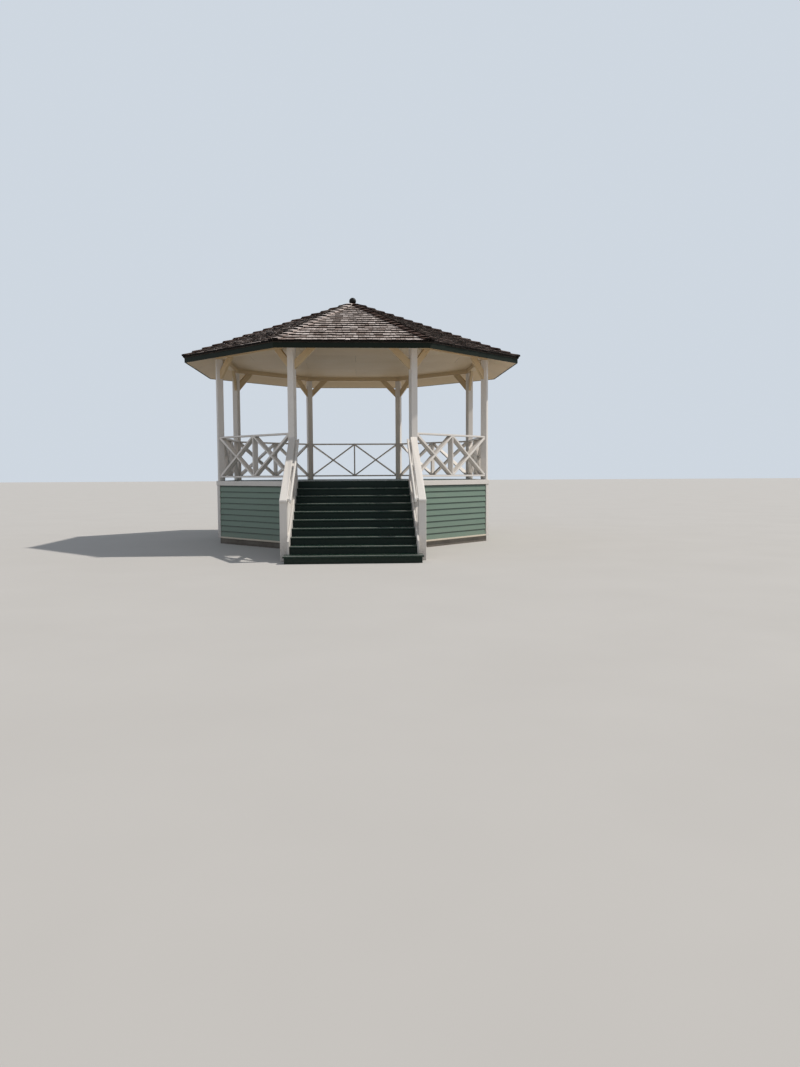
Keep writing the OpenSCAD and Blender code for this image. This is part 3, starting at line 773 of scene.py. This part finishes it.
def skirtWall(i):
    # siding on sheathing, and studs between two plates behind it
    t = Timber(100 + i)
    w, place, inside = skirtWork, sidePlace(i), -layout["frameBack"]
    t.take(recipes["siding"].grow(seed=20 + i), place)
    front = siding["step"] + siding["thick"] - siding["feather"] - skirtA
    back = front + w["sheath"]
    half, high = cornerX - mitre, floorH - decking["thick"] - w["stud"]
    t.box((-half, front, skirtLow), (half, back, bandZ), edges["sheath"], place, finish=1)
    count = round(2 * cornerX / w["studStep"])
    for x in np.linspace(-cornerX + w["endGap"], cornerX - w["endGap"] - w["stud"], count + 1):
        low = (x, back, skirtLow + w["stud"])
        t.box(low, (x + w["stud"], inside, high), edges["frame"], place, finish=1)
    for z in (skirtLow, high):
        t.box((-half, back, z), (half, inside, z + w["stud"]), edges["frame"], place, finish=1)
    seat = siding["step"] * w["nailUp"] / layout["lapH"] + w["nailProud"] - skirtA
    nails = [(x, seat, skirtLow + row * layout["lapH"] + w["nailUp"])
             for x in np.linspace(-cornerX + w["nailIn"], cornerX - w["nailIn"], count + 1)
             for row in range(siding["laps"] - 1)]
    addHeads(t, "nail", nails, (0, -1, 0), place)
    t.piece("skirtWall_" + sideNames[i], "skirt_" + sideNames[i], "green_paint", "sidingGreen", "bareTimber")


def mitredBoard(t, i, outer, inner, z0, z1, ease, finish=0, z0In=None, z1In=None):
    # a board along one side of the octagon, mitred at both ends; the inner edge may lie higher
    z0In, z1In = z0 if z0In is None else z0In, z1 if z1In is None else z1In
    ox, ix = [a * flatRun - mitre / cosHalf for a in (outer, inner)]
    corners = [(s * x, -a, z) for s in (-1, 1)
               for x, a, z in ((ox, outer, z0), (ox, outer, z1), (ix, inner, z0In), (ix, inner, z1In))]
    t.corners(corners, ease, sidePlace(i), finish=finish)


# two boards to a corner, each with a bare post behind it that carries the floor
cornerWork = {"thick": 0.024, "gap": 0.001}


def cornerBoards():
    t = Timber(120)
    face, under = layout["cornerA"], floorH - decking["thick"]
    back = face - cornerWork["thick"]
    for i in range(8):
        for s in (-1, 1):
            for outer, inner, top, edge, finish in ((face, back, bandZ, "trim", 0),
                                                    (back, layout["frameBack"], under, "frame", 1)):
                plan = [(cornerX, outer), (cornerX, inner), (outer * flatRun - mitre, outer),
                        (inner * flatRun - mitre, inner)]
                heights = (layout["footingH"], top - cornerWork["gap"])
                corners = [(s * x, -a, z) for z in heights for x, a in plan]
                t.corners(corners, edges[edge], sidePlace(i), finish=finish)
    t.piece("cornerBoards", "corner_boards", "white_paint", "whitePaint", "bareTimber")


def sillBoards():
    t = Timber(121)
    half = cornerX - mitre
    low, high = (-half, -layout["cornerA"], layout["footingH"]), (half, -layout["frameBack"], skirtLow)
    for i in range(8):
        t.box(low, high, edges["board"], sidePlace(i))
    t.piece("sillBoards", "sill_boards", "sill_paint", "sillPaint")


def floorBand():
    t = Timber(122)
    for i in range(8):
        mitredBoard(t, i, floorA, deckA, bandZ, floorH, edges["board"])
    t.piece("floorBand", "floor_band", "white_paint", "whitePaint")


# screws over the joists; the places across a board are parts of its width
deckScrews = {"lines": 11, "outermost": 2.98, "across": (0.25, 0.75), "clear": 0.03, "proud": 0.0002}


def floorBoards():
    t = Timber(123)
    t.take(recipes["deck"].grow(seed=5), centrePlace)
    w, wide = deckScrews, 2 * deckA / decking["boards"]
    spots = []
    for n in range(decking["boards"]):
        for part in w["across"]:
            y = -deckA + (n + part) * wide
            reach = min(deckA * math.sqrt(2) - abs(y), deckA) - w["clear"]
            joists = np.linspace(-w["outermost"], w["outermost"], w["lines"])
            spots += [(x, y, floorH + w["proud"]) for x in joists if abs(x) < reach]
    addHeads(t, "deckScrew", spots, (0, 0, 1), centrePlace, 1)
    t.piece("floorBoards", "floor_deck", "step_paint", "deckGreen", "galvanised")


for i in range(8):
    skirtWall(i)
cornerBoards()
sillBoards()
floorBand()
floorBoards()
print("base done")


# posts, railings and beams
def postRing():
    t = Timber(130)
    h = postW / 2
    for j in range(8):
        t.box((-h, -postOut, floorH), (h, -postOut + postW, beamZ), edges["post"], cornerPlace(j))
    t.piece("posts", "posts", "white_paint", "whitePaint")


def bayLimit(p):
    # half the width between the posts' faces, which are turned from the bay
    return -p[:, 1] * flatRun - (postW / 2 + postGap) / cosHalf


def withinBay(p):
    limit = bayLimit(p)
    p = p.copy()
    p[:, 0] = np.clip(p[:, 0], -limit, limit)
    return p


# what lies this close to a post's inner edge belongs to a board's end there
endReach = 0.006


def inBay(deep, s):
    # stands a flat board up in the bay, and runs its end at the post on to the post's face
    stand = Matrix(((1, 0, 0, 0), (0, 0, -1, -postA + deep / 2), (0, 1, 0, 0), (0, 0, 0, 1)))

    def fit(p):
        p = moved(p, stand)
        near = p[:, 0] * s > postFaceX - endReach
        p[near, 0] = s * bayLimit(p)[near]
        return p
    return fit


railWork = {"height": 1.013, "gap": 0.077, "thick": 0.038, "deep": 0.132, "joint": 0.0006}


def barOutline(p, q, thick, spare=0.1):
    # a board along the line from p to q, run on past both
    p, q = np.array(p), np.array(q)
    along = (q - p) / math.dist(p, q)
    side = np.array([along[1], -along[0]]) * thick / 2
    p, q = p - along * spare, q + along * spare
    return [p + side, q + side, q - side, p - side]


def crossedBoards(panel, thick):
    # one whole diagonal, and the other in two pieces that meet it; (outline, angle) pairs
    a, b, c, d = panel
    whole, other = [cutToOutline(barOutline(p, q, thick), panel) for p, q in ((a, c), (b, d))]
    first, second = [math.atan2(q[1] - p[1], q[0] - p[0]) for p, q in ((a, c), (b, d))]
    nx, ny = -math.sin(first), math.cos(first)
    middle, clear = nx * a[0] + ny * a[1], thick / 2 + railWork["joint"]
    over = cutOutline(other, -nx, -ny, -(middle + clear))
    under = cutOutline(other, nx, ny, middle - clear)
    return [(whole, first), (over, second), (under, second)]


def bayRailing(i):
    t = Timber(140 + i)
    w, edge, place, name = railWork, edges["board"], sidePlace(i), "railing_" + sideNames[i]
    low, top = floorH + w["gap"], floorH + w["height"] - w["thick"]
    y0, y1 = -postA - w["deep"] / 2, -postA + w["deep"] / 2
    for z in (low, top):
        t.box((-postX, y0, z), (postX, y1, z + w["thick"]), edge, place, withinBay)
    low, h = low + w["thick"], w["thick"] / 2
    t.box((-h, y0, low), (h, y1, top), edge, place)
    for s, x0, x1 in ((-1, -postFaceX, -h), (1, h, postFaceX)):
        for outline, angle in crossedBoards([(x0, low), (x1, low), (x1, top), (x0, top)], w["thick"]):
            t.plate(outline, w["deep"], place, edge, angle, inBay(w["deep"], s))
    t.piece(name + "_boards", name, "white_paint", "railPaint")


def beamRing():
    t = Timber(150)
    for i in range(8):
        mitredBoard(t, i, beamOut, beamIn, beamZ, beamTop, edges["beam"])
    t.piece("beamRing", "beam_ring", "cream_paint", "creamPaint")


# the bolts' places are measured along a leg from its foot, and in from the post or the beam
braceWork = {"leg": 0.450, "wide": 0.140, "thick": 0.060, "bolts": (0.150, 0.205), "boltIn": 0.060,
             "boltProud": 0.001}


def kneeBraces():
    t = Timber(151)
    w, tuck = braceWork, postW / 2
    inner = w["leg"] - w["wide"] * math.sqrt(2)
    y = -postA - w["thick"] / 2 - w["boltProud"]
    for i in range(8):
        for s in (-1, 1):
            outline = [(postFaceX + tuck, beamZ - w["leg"] - tuck), (postFaceX - w["leg"], beamZ),
                       (postFaceX - inner, beamZ), (postFaceX + tuck, beamZ - inner - tuck)]
            outline = cutOutline([(s * x, z) for x, z in outline][::-s], s, 0, postFaceX)
            t.plate(outline, w["thick"], sidePlace(i), edges["board"], turn * -s, inBay(w["thick"], s))
            bolts = [(s * (postFaceX - w["boltIn"]), y, beamZ - w["leg"] + along) for along in w["bolts"]]
            bolts += [(s * (postFaceX - w["leg"] + along), y, beamZ - w["boltIn"]) for along in w["bolts"]]
            addHeads(t, "braceBolt", bolts, (0, -1, 0), sidePlace(i))
    t.piece("kneeBraces", "knee_braces", "cream_paint", "creamPaint")


# sheets in rows from the seam, joints shifted by half a sheet
ceilingWork = {"thick": 0.012, "wide": 1.22, "long": 2.44, "gap": 0.003, "seam": -1.26, "drop": 0.050,
               "clear": 0.001}


def ceilingSheets():
    t = Timber(152)
    w = ceilingWork
    a = beamIn - w["clear"]
    reach, gap = a * flatRun, w["gap"] / 2
    octagon = [(reach, -a), (a, -reach), (a, reach), (reach, a)]
    octagon += [(-x, -y) for x, y in octagon]
    place = centrePlace @ Matrix.Translation((0, 0, beamTop - w["drop"]))
    row, y = 0, w["seam"] - 2 * w["wide"]
    while y < a:
        x = -a - w["long"] * (0.25 if row % 2 else 0.75)
        while x < a:
            x0, x1, y0, y1 = x + gap, x + w["long"] - gap, y + gap, y + w["wide"] - gap
            sheet = cutToOutline([(x0, y0), (x1, y0), (x1, y1), (x0, y1)], octagon)
            if len(sheet) > 2:
                t.plate(sheet, w["thick"], place, edges["frame"])
            x += w["long"]
        y += w["wide"]
        row += 1
    t.piece("ceilingSheets", "ceiling", "cream_paint", "creamPaint")


# the soffit's joints lie at parts of half a side
eaves = {"soffit": 0.012, "fascia": 0.030, "clear": 0.0005, "joints": (-1, -0.34, 0.30, 1), "gap": 0.0012,
         "drip": 0.006}


def eaveSoffit():
    t = Timber(153)
    inner, outer = beamOut + eaves["clear"], fasciaA - eaves["fascia"] - eaves["clear"]
    for i in range(8):
        for left, right in zip(eaves["joints"], eaves["joints"][1:]):
            corners = []
            for part, gap in ((left, eaves["gap"]), (right, -eaves["gap"])):
                for a in (outer, inner):
                    mitred = part * (a * flatRun - mitre / cosHalf)
                    x = mitred if abs(part) == 1 else part * a * flatRun + gap
                    z = soffitPeak - a * roofM
                    corners += [(x, -a, z - eaves["soffit"] * upright), (x, -a, z)]
            t.corners(corners, edges["soffit"], sidePlace(i))
    t.piece("eaveSoffit", "soffit", "cream_paint", "creamPaint")


def fasciaBoards():
    t = Timber(154)
    outer, inner = fasciaA, fasciaA - eaves["fascia"]
    low = soffitPeak - eaves["soffit"] * upright - inner * roofM - eaves["drip"]
    topOut, topIn = roofUnder - outer * roofM, roofUnder - inner * roofM
    for i in range(8):
        mitredBoard(t, i, outer, inner, low, topOut, edges["board"], z1In=topIn)
    t.piece("fasciaBoards", "fascia", "dark_green_paint", "fasciaGreen")


postRing()
for i in range(1, 8):
    bayRailing(i)
beamRing()
kneeBraces()
ceilingSheets()
eaveSoffit()
fasciaBoards()
print("post ring and eaves done")


# roof; tones run from 0, dark, to 1, pale
# painted light and shade: the front slope's tones are paler, as lit, and the right slope's darker, as shaded
slopeLitShadedTones = {"front": (0.68, 0.98), "left": (0.48, 0.94), "right": (0.22, 0.64), "back": (0.44, 0.90)}
roofWork = {"boarding": 0.020, "boardingIn": 0.060, "boardingBack": 0.002,
            "starter": {"courses": 1, "perCourse": 30, "eaveA": eaveA - 0.006, "sink": 0.019, "toneLow": 0.0,
                        "toneHigh": 0.4}}


def roofSide(i):
    t = Timber(160 + i)
    name, w = sideNames[i], roofWork
    low, high = slopeLitShadedTones[name if name in slopeLitShadedTones else name.split("_")[-1]]
    t.take(recipes["shakes"].grow(seed=40 + i, toneLow=low, toneHigh=high), sidePlace(i))
    t.take(recipes["shakes"].grow(seed=70 + i, **w["starter"]), sidePlace(i))
    # the boarding takes the near-black finish, painted shade at the eave
    outer, inner = fasciaA - w["boardingBack"], w["boardingIn"]
    zOut, zIn, thick = roofUnder - outer * roofM, roofUnder - inner * roofM, w["boarding"] * upright
    mitredBoard(t, i, outer, inner, zOut, zOut + thick, edges["frame"], 1, zIn, zIn + thick)
    t.piece("shakes_" + name, "roof_" + name, "cedar_shake", "cedarShake", "boarding")


# tones by corner, 0 at the right of the front and then counterclockwise from above
# painted light and shade: the caps on the front-left hip, corner 7, are pale as painted light, those on the
# front-right hip, corner 0, dark as painted shade
ridge = {"over": 0.020, "seat": 0.017, "start": 0.117, "tones": {0: (0.04, 0.32), 7: (0.82, 1.00)},
         "otherTones": (0.26, 0.68)}
hipPitch = math.atan(roofM * cosHalf)
ridgeA = eaveA + ridge["over"]


def toEave(wing):
    # lays a wing on its hip; the lowest pair is sawn in line with the eaves on both sides
    def fit(p):
        p = moved(p, wing)
        limit = -(ridgeA - np.abs(p[:, 0]) * sinHalf) / cosHalf
        past = p[:, 1] < limit
        p[past, 2] += (limit - p[:, 1])[past] * math.tan(hipPitch)
        p[past, 1] = limit[past]
        return p
    return fit


def hipCaps():
    t = Timber(180)
    seat = Matrix.Translation((0, 0, roofOver + ridge["seat"]))
    wingPitch = math.atan(roofM * sinHalf * math.cos(hipPitch))
    wing = Matrix.Rotation(hipPitch, 4, "X") @ Matrix.Rotation(wingPitch, 4, "Y")
    start, end = ridge["start"] / math.cos(hipPitch), ridgeA / cosHalf / math.cos(hipPitch)
    for j in range(8):
        low, high = ridge["tones"].get(j, ridge["otherTones"])
        for s in (1, -1):
            seed, before = 60 + 2 * j + (s > 0), len(t.faces)
            mesh = recipes["hip"].grow(seed=seed, start=start, end=end, toneLow=low, toneHigh=high)
            t.take(mesh, cornerPlace(j), fit=toEave(seat @ Matrix.Scale(s, 4, (1, 0, 0)) @ wing))
            # the mirrored wing's faces turn outwards again
            t.faces[before:] = [ring[::s] for ring in t.faces[before:]]
    t.piece("hipCaps", "hip_caps", "cedar_shake", "cedarShake")


def lathe(t, outline, around, matrix):
    # closed at both ends on the axis
    points, faces = [(0, 0, outline[0][1])], []
    angles = [2 * math.pi * n / around for n in range(around)]
    for r, z in outline[1:-1]:
        points += [(r * math.cos(angle), r * math.sin(angle), z) for angle in angles]
    points.append((0, 0, outline[-1][1]))
    last = len(points) - 1
    rings = len(outline) - 2
    for n in range(around):
        m = (n + 1) % around
        faces.append([0, 1 + m, 1 + n])
        for k in range(rings - 1):
            a, b = 1 + k * around, 1 + (k + 1) * around
            faces.append([a + n, a + m, b + m, b + n])
        a = 1 + (rings - 1) * around
        faces.append([a + n, a + m, last])
    t.gather(t.place(points, matrix), faces, points, [0.5] * len(points), [0] * len(faces))


# the foot is a flange and a neck, (radius, height) pairs; a seam runs round the ball's middle
ball = {"radius": 0.086, "middle": 0.100, "seam": 0.0015, "rings": 21, "around": 40,
        "foot": [(0, 0), (0.103, 0), (0.105, 0.002), (0.105, 0.008), (0.101, 0.012), (0.050, 0.012),
                 (0.042, 0.015), (0.034, 0.018)]}


def finialBall():
    t = Timber(181)
    outline = list(ball["foot"])
    low = math.asin(outline[-1][0] / ball["radius"])
    for n in range(ball["rings"]):
        angle = low + (math.pi - low) * n / ball["rings"]
        r = ball["radius"] - (ball["seam"] if n == ball["rings"] // 2 else 0)
        outline.append((r * math.sin(angle), ball["middle"] - r * math.cos(angle)))
    outline.append((0, ball["middle"] + ball["radius"]))
    seat = roofOver - layout["peakA"] * roofM
    lathe(t, outline, ball["around"], centrePlace @ Matrix.Translation((0, 0, seat)))
    t.piece("finialBall", "finial", "dark_metal", "darkMetal", smooth=True)


for i in range(8):
    roofSide(i)
print("shakes laid")
hipCaps()
finialBall()
print("roof done")


# steps
stair = {"rises": 10, "run": 0.295, "tread": 0.038, "nosing": 0.025, "riser": 0.020, "foot": 0.097,
         "curb": 0.038, "curbDeep": 0.235, "newel": 0.140, "newelBack": 0.140, "railH": 0.860,
         "railDrop": 0.095, "railGap": 0.060, "cap": 0.140}
rise = floorH / stair["rises"]
stairM = rise / stair["run"]
stairUp = 1 / math.cos(math.atan(stairM))
curbX = postX - stair["newel"] / 2 - stair["curb"]


def riserY(k):
    return -(floorA + stair["riser"] + stair["run"] * (stair["rises"] - k))


def noseZ(y):
    return rise + (y - riserY(1) + stair["nosing"]) * stairM


newelY = riserY(2) + stair["newelBack"]
railEnd = -(postOut - postX * sinHalf) / cosHalf
capM = stairM + stair["railDrop"] / (railEnd - newelY)
capUp = 1 / math.cos(math.atan(capM))
capTop = noseZ(railEnd) + stair["railH"] - railEnd * capM
capLow = capTop - railWork["thick"] * capUp


def sideways(x):
    # stands an outline in y and z at x, with its depth along x
    return Matrix(((0, 0, 1, x), (1, 0, 0, 0), (0, 1, 0, 0), (0, 0, 0, 1)))


# a tread is two boards, the first with a round nose; screws at parts of the whole depth
treadWork = {"round": 0.012, "seam": 0.002, "screwX": (-1.12, -1.06, -0.56, 0.0, 0.56, 1.06, 1.12),
             "screwY": (0.14, 0.38, 0.62, 0.86), "screwProud": 0.0002, "wearHighlightDepth": 0.008, "wearHighlightFull": 0.002}


def noseWearAndHighlight(t, level):
    # feet have worn the last board, and its top is painted lighter as a painted highlight too: most at its
    # round, and not at its back
    w, (y, z) = treadWork, t.points[-1].T[1:]
    upper = np.clip((z - level + w["wearHighlightDepth"]) / (w["wearHighlightDepth"] - w["wearHighlightFull"]), 0, 1)
    t.mark[-1] = upper * np.clip((y.max() - y) / (y.max() - y.min() - w["round"]), 0, 1)


def stepTreads():
    t = Timber(190)
    w, thick, deep = treadWork, stair["tread"], stair["run"] + stair["nosing"]
    r = w["round"]
    for k in range(1, stair["rises"]):
        half = curbX + (stair["foot"] if k == 1 else 0)
        y, z = riserY(k) - stair["nosing"], k * rise
        seam = y + deep / 2
        front = [(seam - w["seam"], z - thick), (seam - w["seam"], z)]
        front += [(y + r - r * math.sin(a), z - r + r * math.cos(a)) for a in np.linspace(0, math.pi / 2, 5)]
        front += [(y + r - r * math.cos(a), z - thick + r - r * math.sin(a))
                  for a in np.linspace(0, math.pi / 2, 4)]
        t.plate(front, 2 * half, centrePlace @ sideways(-half), edges["frame"], along=True)
        noseWearAndHighlight(t, z)
        t.box((-half, seam + w["seam"], z - thick), (half, y + deep, z), edges["board"], centrePlace)
        spots = [(x, y + deep * part, z + w["screwProud"]) for x in w["screwX"] for part in w["screwY"]]
        addHeads(t, "stepScrew", spots, (0, 0, 1), centrePlace, 1)
    t.piece("stepTreads", "treads", "step_paint", "stepGreen", "galvanised")


def stepRisers():
    t = Timber(191)
    for k in range(1, stair["rises"] + 1):
        low = max(0, (k - 1) * rise - stair["tread"])
        high = floorH if k == stair["rises"] else k * rise - stair["tread"]
        half = curbX + (stair["foot"] - stair["nosing"] if k == 1 else 0)
        y = riserY(k)
        t.box((-half, y, low), (half, y + stair["riser"], high), edges["trim"], centrePlace)
    t.piece("stepRisers", "risers", "dark_green_paint", "riserGreen")


def stepCurbs():
    t = Timber(192)
    over = stair["railGap"] + railWork["thick"] * stairUp
    under = stair["curbDeep"] * stairUp - over
    front = riserY(2) - 2 * stair["nosing"]
    meet = max(front, riserY(1) - stair["nosing"] + under / stairM)
    high = noseZ(-floorA)
    outline = [(front, rise), (meet, rise), (-floorA, high - under), (-floorA, high + over),
               (front, noseZ(front) + over)]
    for x in (-curbX - stair["curb"], curbX):
        t.plate(outline, stair["curb"], centrePlace @ sideways(x), edges["board"], math.atan(stairM))
    t.piece("stepCurbs", "stair_curbs", "white_paint", "whitePaint")


# bolts on the outer faces, (shift from the middle, height) pairs
newelBolts = {"places": ((-0.035, 0.10), (0.035, 0.10), (-0.035, 0.24), (0.035, 0.24)), "proud": 0.0005}


def newelPosts():
    t = Timber(193)
    h = stair["newel"] / 2
    for s in (-1, 1):
        corners = [(x, y, capLow + y * capM if top else 0) for top in (0, 1)
                   for x in (s * postX - h, s * postX + h) for y in (newelY, newelY + 2 * h)]
        t.corners(corners, edges["post"], centrePlace)
        x = s * (postX + h + newelBolts["proud"])
        bolts = [(x, newelY + h + shift, z) for shift, z in newelBolts["places"]]
        addHeads(t, "newelBolt", bolts, (s, 0, 0), centrePlace)
    t.piece("newelPosts", "newels", "white_paint", "whitePaint")


# the grip stands inside the cap on three blocks; spare runs the rails on to the post's turned face
gripWork = {"wide": 0.038, "deep": 0.064, "gap": 0.038, "blockLong": 0.090, "blockLift": 0.004,
            "blockDeep": 0.030, "spare": 0.010}


def toFrontPost(p):
    # ends on the outer face of the front post
    p = p.copy()
    p[:, 1] = np.minimum(p[:, 1], -(postOut + postGap - np.abs(p[:, 0]) * sinHalf) / cosHalf)
    return p


def stairRailing(s, name):
    t = Timber(195 + s)
    w, thick, deep = gripWork, railWork["thick"], railWork["deep"]
    h, side = thick / 2, stair["cap"] / 2
    foot = noseZ(0) + stair["railGap"]
    start, end = newelY + stair["newel"], railEnd + (max(side, deep / 2) + w["spare"]) * flatRun
    middle, stand = (start + end) / 2, sideways(s * postX - deep / 2)

    def slopedBar(low, high, x0, x1, y0, y1, m, edge):
        # x from the middle of the railing, outwards; low and high are where the faces meet y = 0
        xs = sorted((s * (postX + x0), s * (postX + x1)))
        corners = [(x, y, z + y * m) for y in (y0, y1) for x in xs for z in (low, high)]
        t.corners(corners, edges[edge], centrePlace, toFrontPost)

    def lowAt(y):
        return foot + thick * stairUp + y * stairM

    def highAt(y):
        return capLow + y * capM

    def panelFrom(y0, y1):
        return [(y0, lowAt(y0)), (y1, lowAt(y1)), (y1, highAt(y1)), (y0, highAt(y0))]

    def inPlace(p):
        return toFrontPost(moved(p, stand))

    slopedBar(capLow, capTop, -side, side, newelY - stair["nosing"], end, capM, "cap")
    slopedBar(foot, foot + thick * stairUp, -deep / 2, deep / 2, start, end, stairM, "board")
    t.plate(panelFrom(middle - h, middle + h), deep, centrePlace @ stand, edges["board"], math.pi / 2)
    for y0, y1 in ((start, middle - h), (middle + h, end)):
        for outline, angle in crossedBoards(panelFrom(y0, y1), thick):
            t.plate(outline, deep, centrePlace, edges["board"], angle, inPlace)
    inner, gripLow = -side - w["gap"], capTop - w["deep"] * capUp
    slopedBar(gripLow, capTop, inner - w["wide"], inner, newelY, -floorA, capM, "grip")
    low, half = capLow + w["blockLift"], w["blockLong"] / 2
    high = low + w["blockDeep"] * capUp
    for y in (newelY + stair["newel"] / 2, middle, -floorA - stair["newel"] / 2):
        slopedBar(low, high, inner, -side, y - half, y + half, capM, "trim")
    t.piece(name + "_boards", name, "white_paint", "railPaint")


stepTreads()
stepRisers()
stepCurbs()
newelPosts()
stairRailing(-1, "stair_rail_left")
stairRailing(1, "stair_rail_right")
print("steps done")


# nodes that keep their own shape
keptNodes = {"footing": "concrete", "floor_joists": "bareTimber", "rafters": "bareTimber",
             "stringers": "riserGreen"}
for nodeName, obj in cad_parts.items():
    if nodeName in keptNodes:
        obj.data.materials.clear()
        obj.data.materials.append(finishes[keptNodes[nodeName]])
    elif not obj.hide_render:
        raise RuntimeError("no finish yet for " + nodeName)


# floor, light and camera; the lamps shine from their sources
studio = {"floor": (0.52, 0.50, 0.475), "back": (0.62, 0.68, 0.75), "sky": (0.80, 0.88, 1.0),
          "skyPower": 0.38}
lamps = {
    "sunLamp": {"source": (0.62, 0.08, 0.78), "energy": 3.1, "softness": 1.5, "tint": (1.0, 0.955, 0.89)},
    "fillLamp": {"source": (-0.3, -0.8, 0.45), "energy": 0.10, "softness": 60.0, "tint": (1, 1, 1)},
}
view = {"eye": (0.0928, -20.0107 + centreY, 1.5872), "yaw": 0.052, "pitch": 0.0744, "roll": 0.0051}


def studioFloor():
    mesh = bpy.data.meshes.new("studioFloor")
    mesh.from_pydata([(-120, -60, 0), (120, -60, 0), (120, 180, 0), (-120, 180, 0)], [], [[0, 1, 2, 3]])
    f = Finish("studioFloor")
    grain = f.noise(f.place, 0.6)
    base = f.mix(f.span(grain, 0.3, 0.7), studio["floor"], tuple(c * 0.97 for c in studio["floor"]))
    mesh.materials.append(f.close(base, f.span(grain, 0.3, 0.7, 0.85, 0.95)))
    shown("studioFloor", mesh)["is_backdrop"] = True


def studioWorld():
    # the sky lights the scene; rays that see it find a plain background
    world = bpy.data.worlds.new("studioWorld")
    bpy.context.scene.world = world
    world.use_nodes = True
    g = Graph(world.node_tree)
    g.tree.nodes.clear()
    rays = g.tree.nodes.new("ShaderNodeLightPath").outputs
    kinds = ("Camera", "Glossy", "Transmission")
    camera, glossy, clear = [Reading(g, rays["Is " + kind + " Ray"]) for kind in kinds]
    light = g.node("ShaderNodeBackground", {"Color": opaque(studio["sky"]), "Strength": studio["skyPower"]})
    back = g.node("ShaderNodeBackground", {"Color": opaque(studio["back"]), "Strength": 1.0})
    both = g.node("ShaderNodeMixShader", {0: (camera + glossy + clear).clamped(), 1: light, 2: back})
    g.node("ShaderNodeOutputWorld", {"Surface": both})


def lamp(name, source, energy, softness, tint):
    data = bpy.data.lights.new(name, "SUN")
    data.energy, data.angle, data.color = energy, math.radians(softness), tint
    shown(name, data).rotation_euler = Vector(source).to_track_quat("Z", "Y").to_euler()


def photoCamera():
    cy, sy = math.cos(view["yaw"]), math.sin(view["yaw"])
    cp, sp = math.cos(view["pitch"]), math.sin(view["pitch"])
    cr, sr = math.cos(view["roll"]), math.sin(view["roll"])
    ahead, level, lift = Vector((sy * cp, cy * cp, -sp)), Vector((cy, -sy, 0)), Vector((sy * sp, cy * sp, cp))
    right, up = level * cr - lift * sr, level * sr + lift * cr
    data = bpy.data.cameras.new("photoCamera")
    data.sensor_fit, data.sensor_width, data.lens, data.clip_end = "HORIZONTAL", 36, 36, 500
    camera = shown("photoCamera", data)
    rows = [(right[n], up[n], -ahead[n], view["eye"][n]) for n in range(3)]
    camera.matrix_world = Matrix(rows + [(0, 0, 0, 1)])
    bpy.context.scene.camera = camera


studioFloor()
studioWorld()
for lampName, settings in lamps.items():
    lamp(lampName, **settings)
photoCamera()
bpy.context.scene.view_settings.view_transform = "Standard"

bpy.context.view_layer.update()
meshes = [obj.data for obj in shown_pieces() if obj.type == "MESH"]
print("triangles:", sum(len(f.vertices) - 2 for mesh in meshes for f in mesh.polygons))
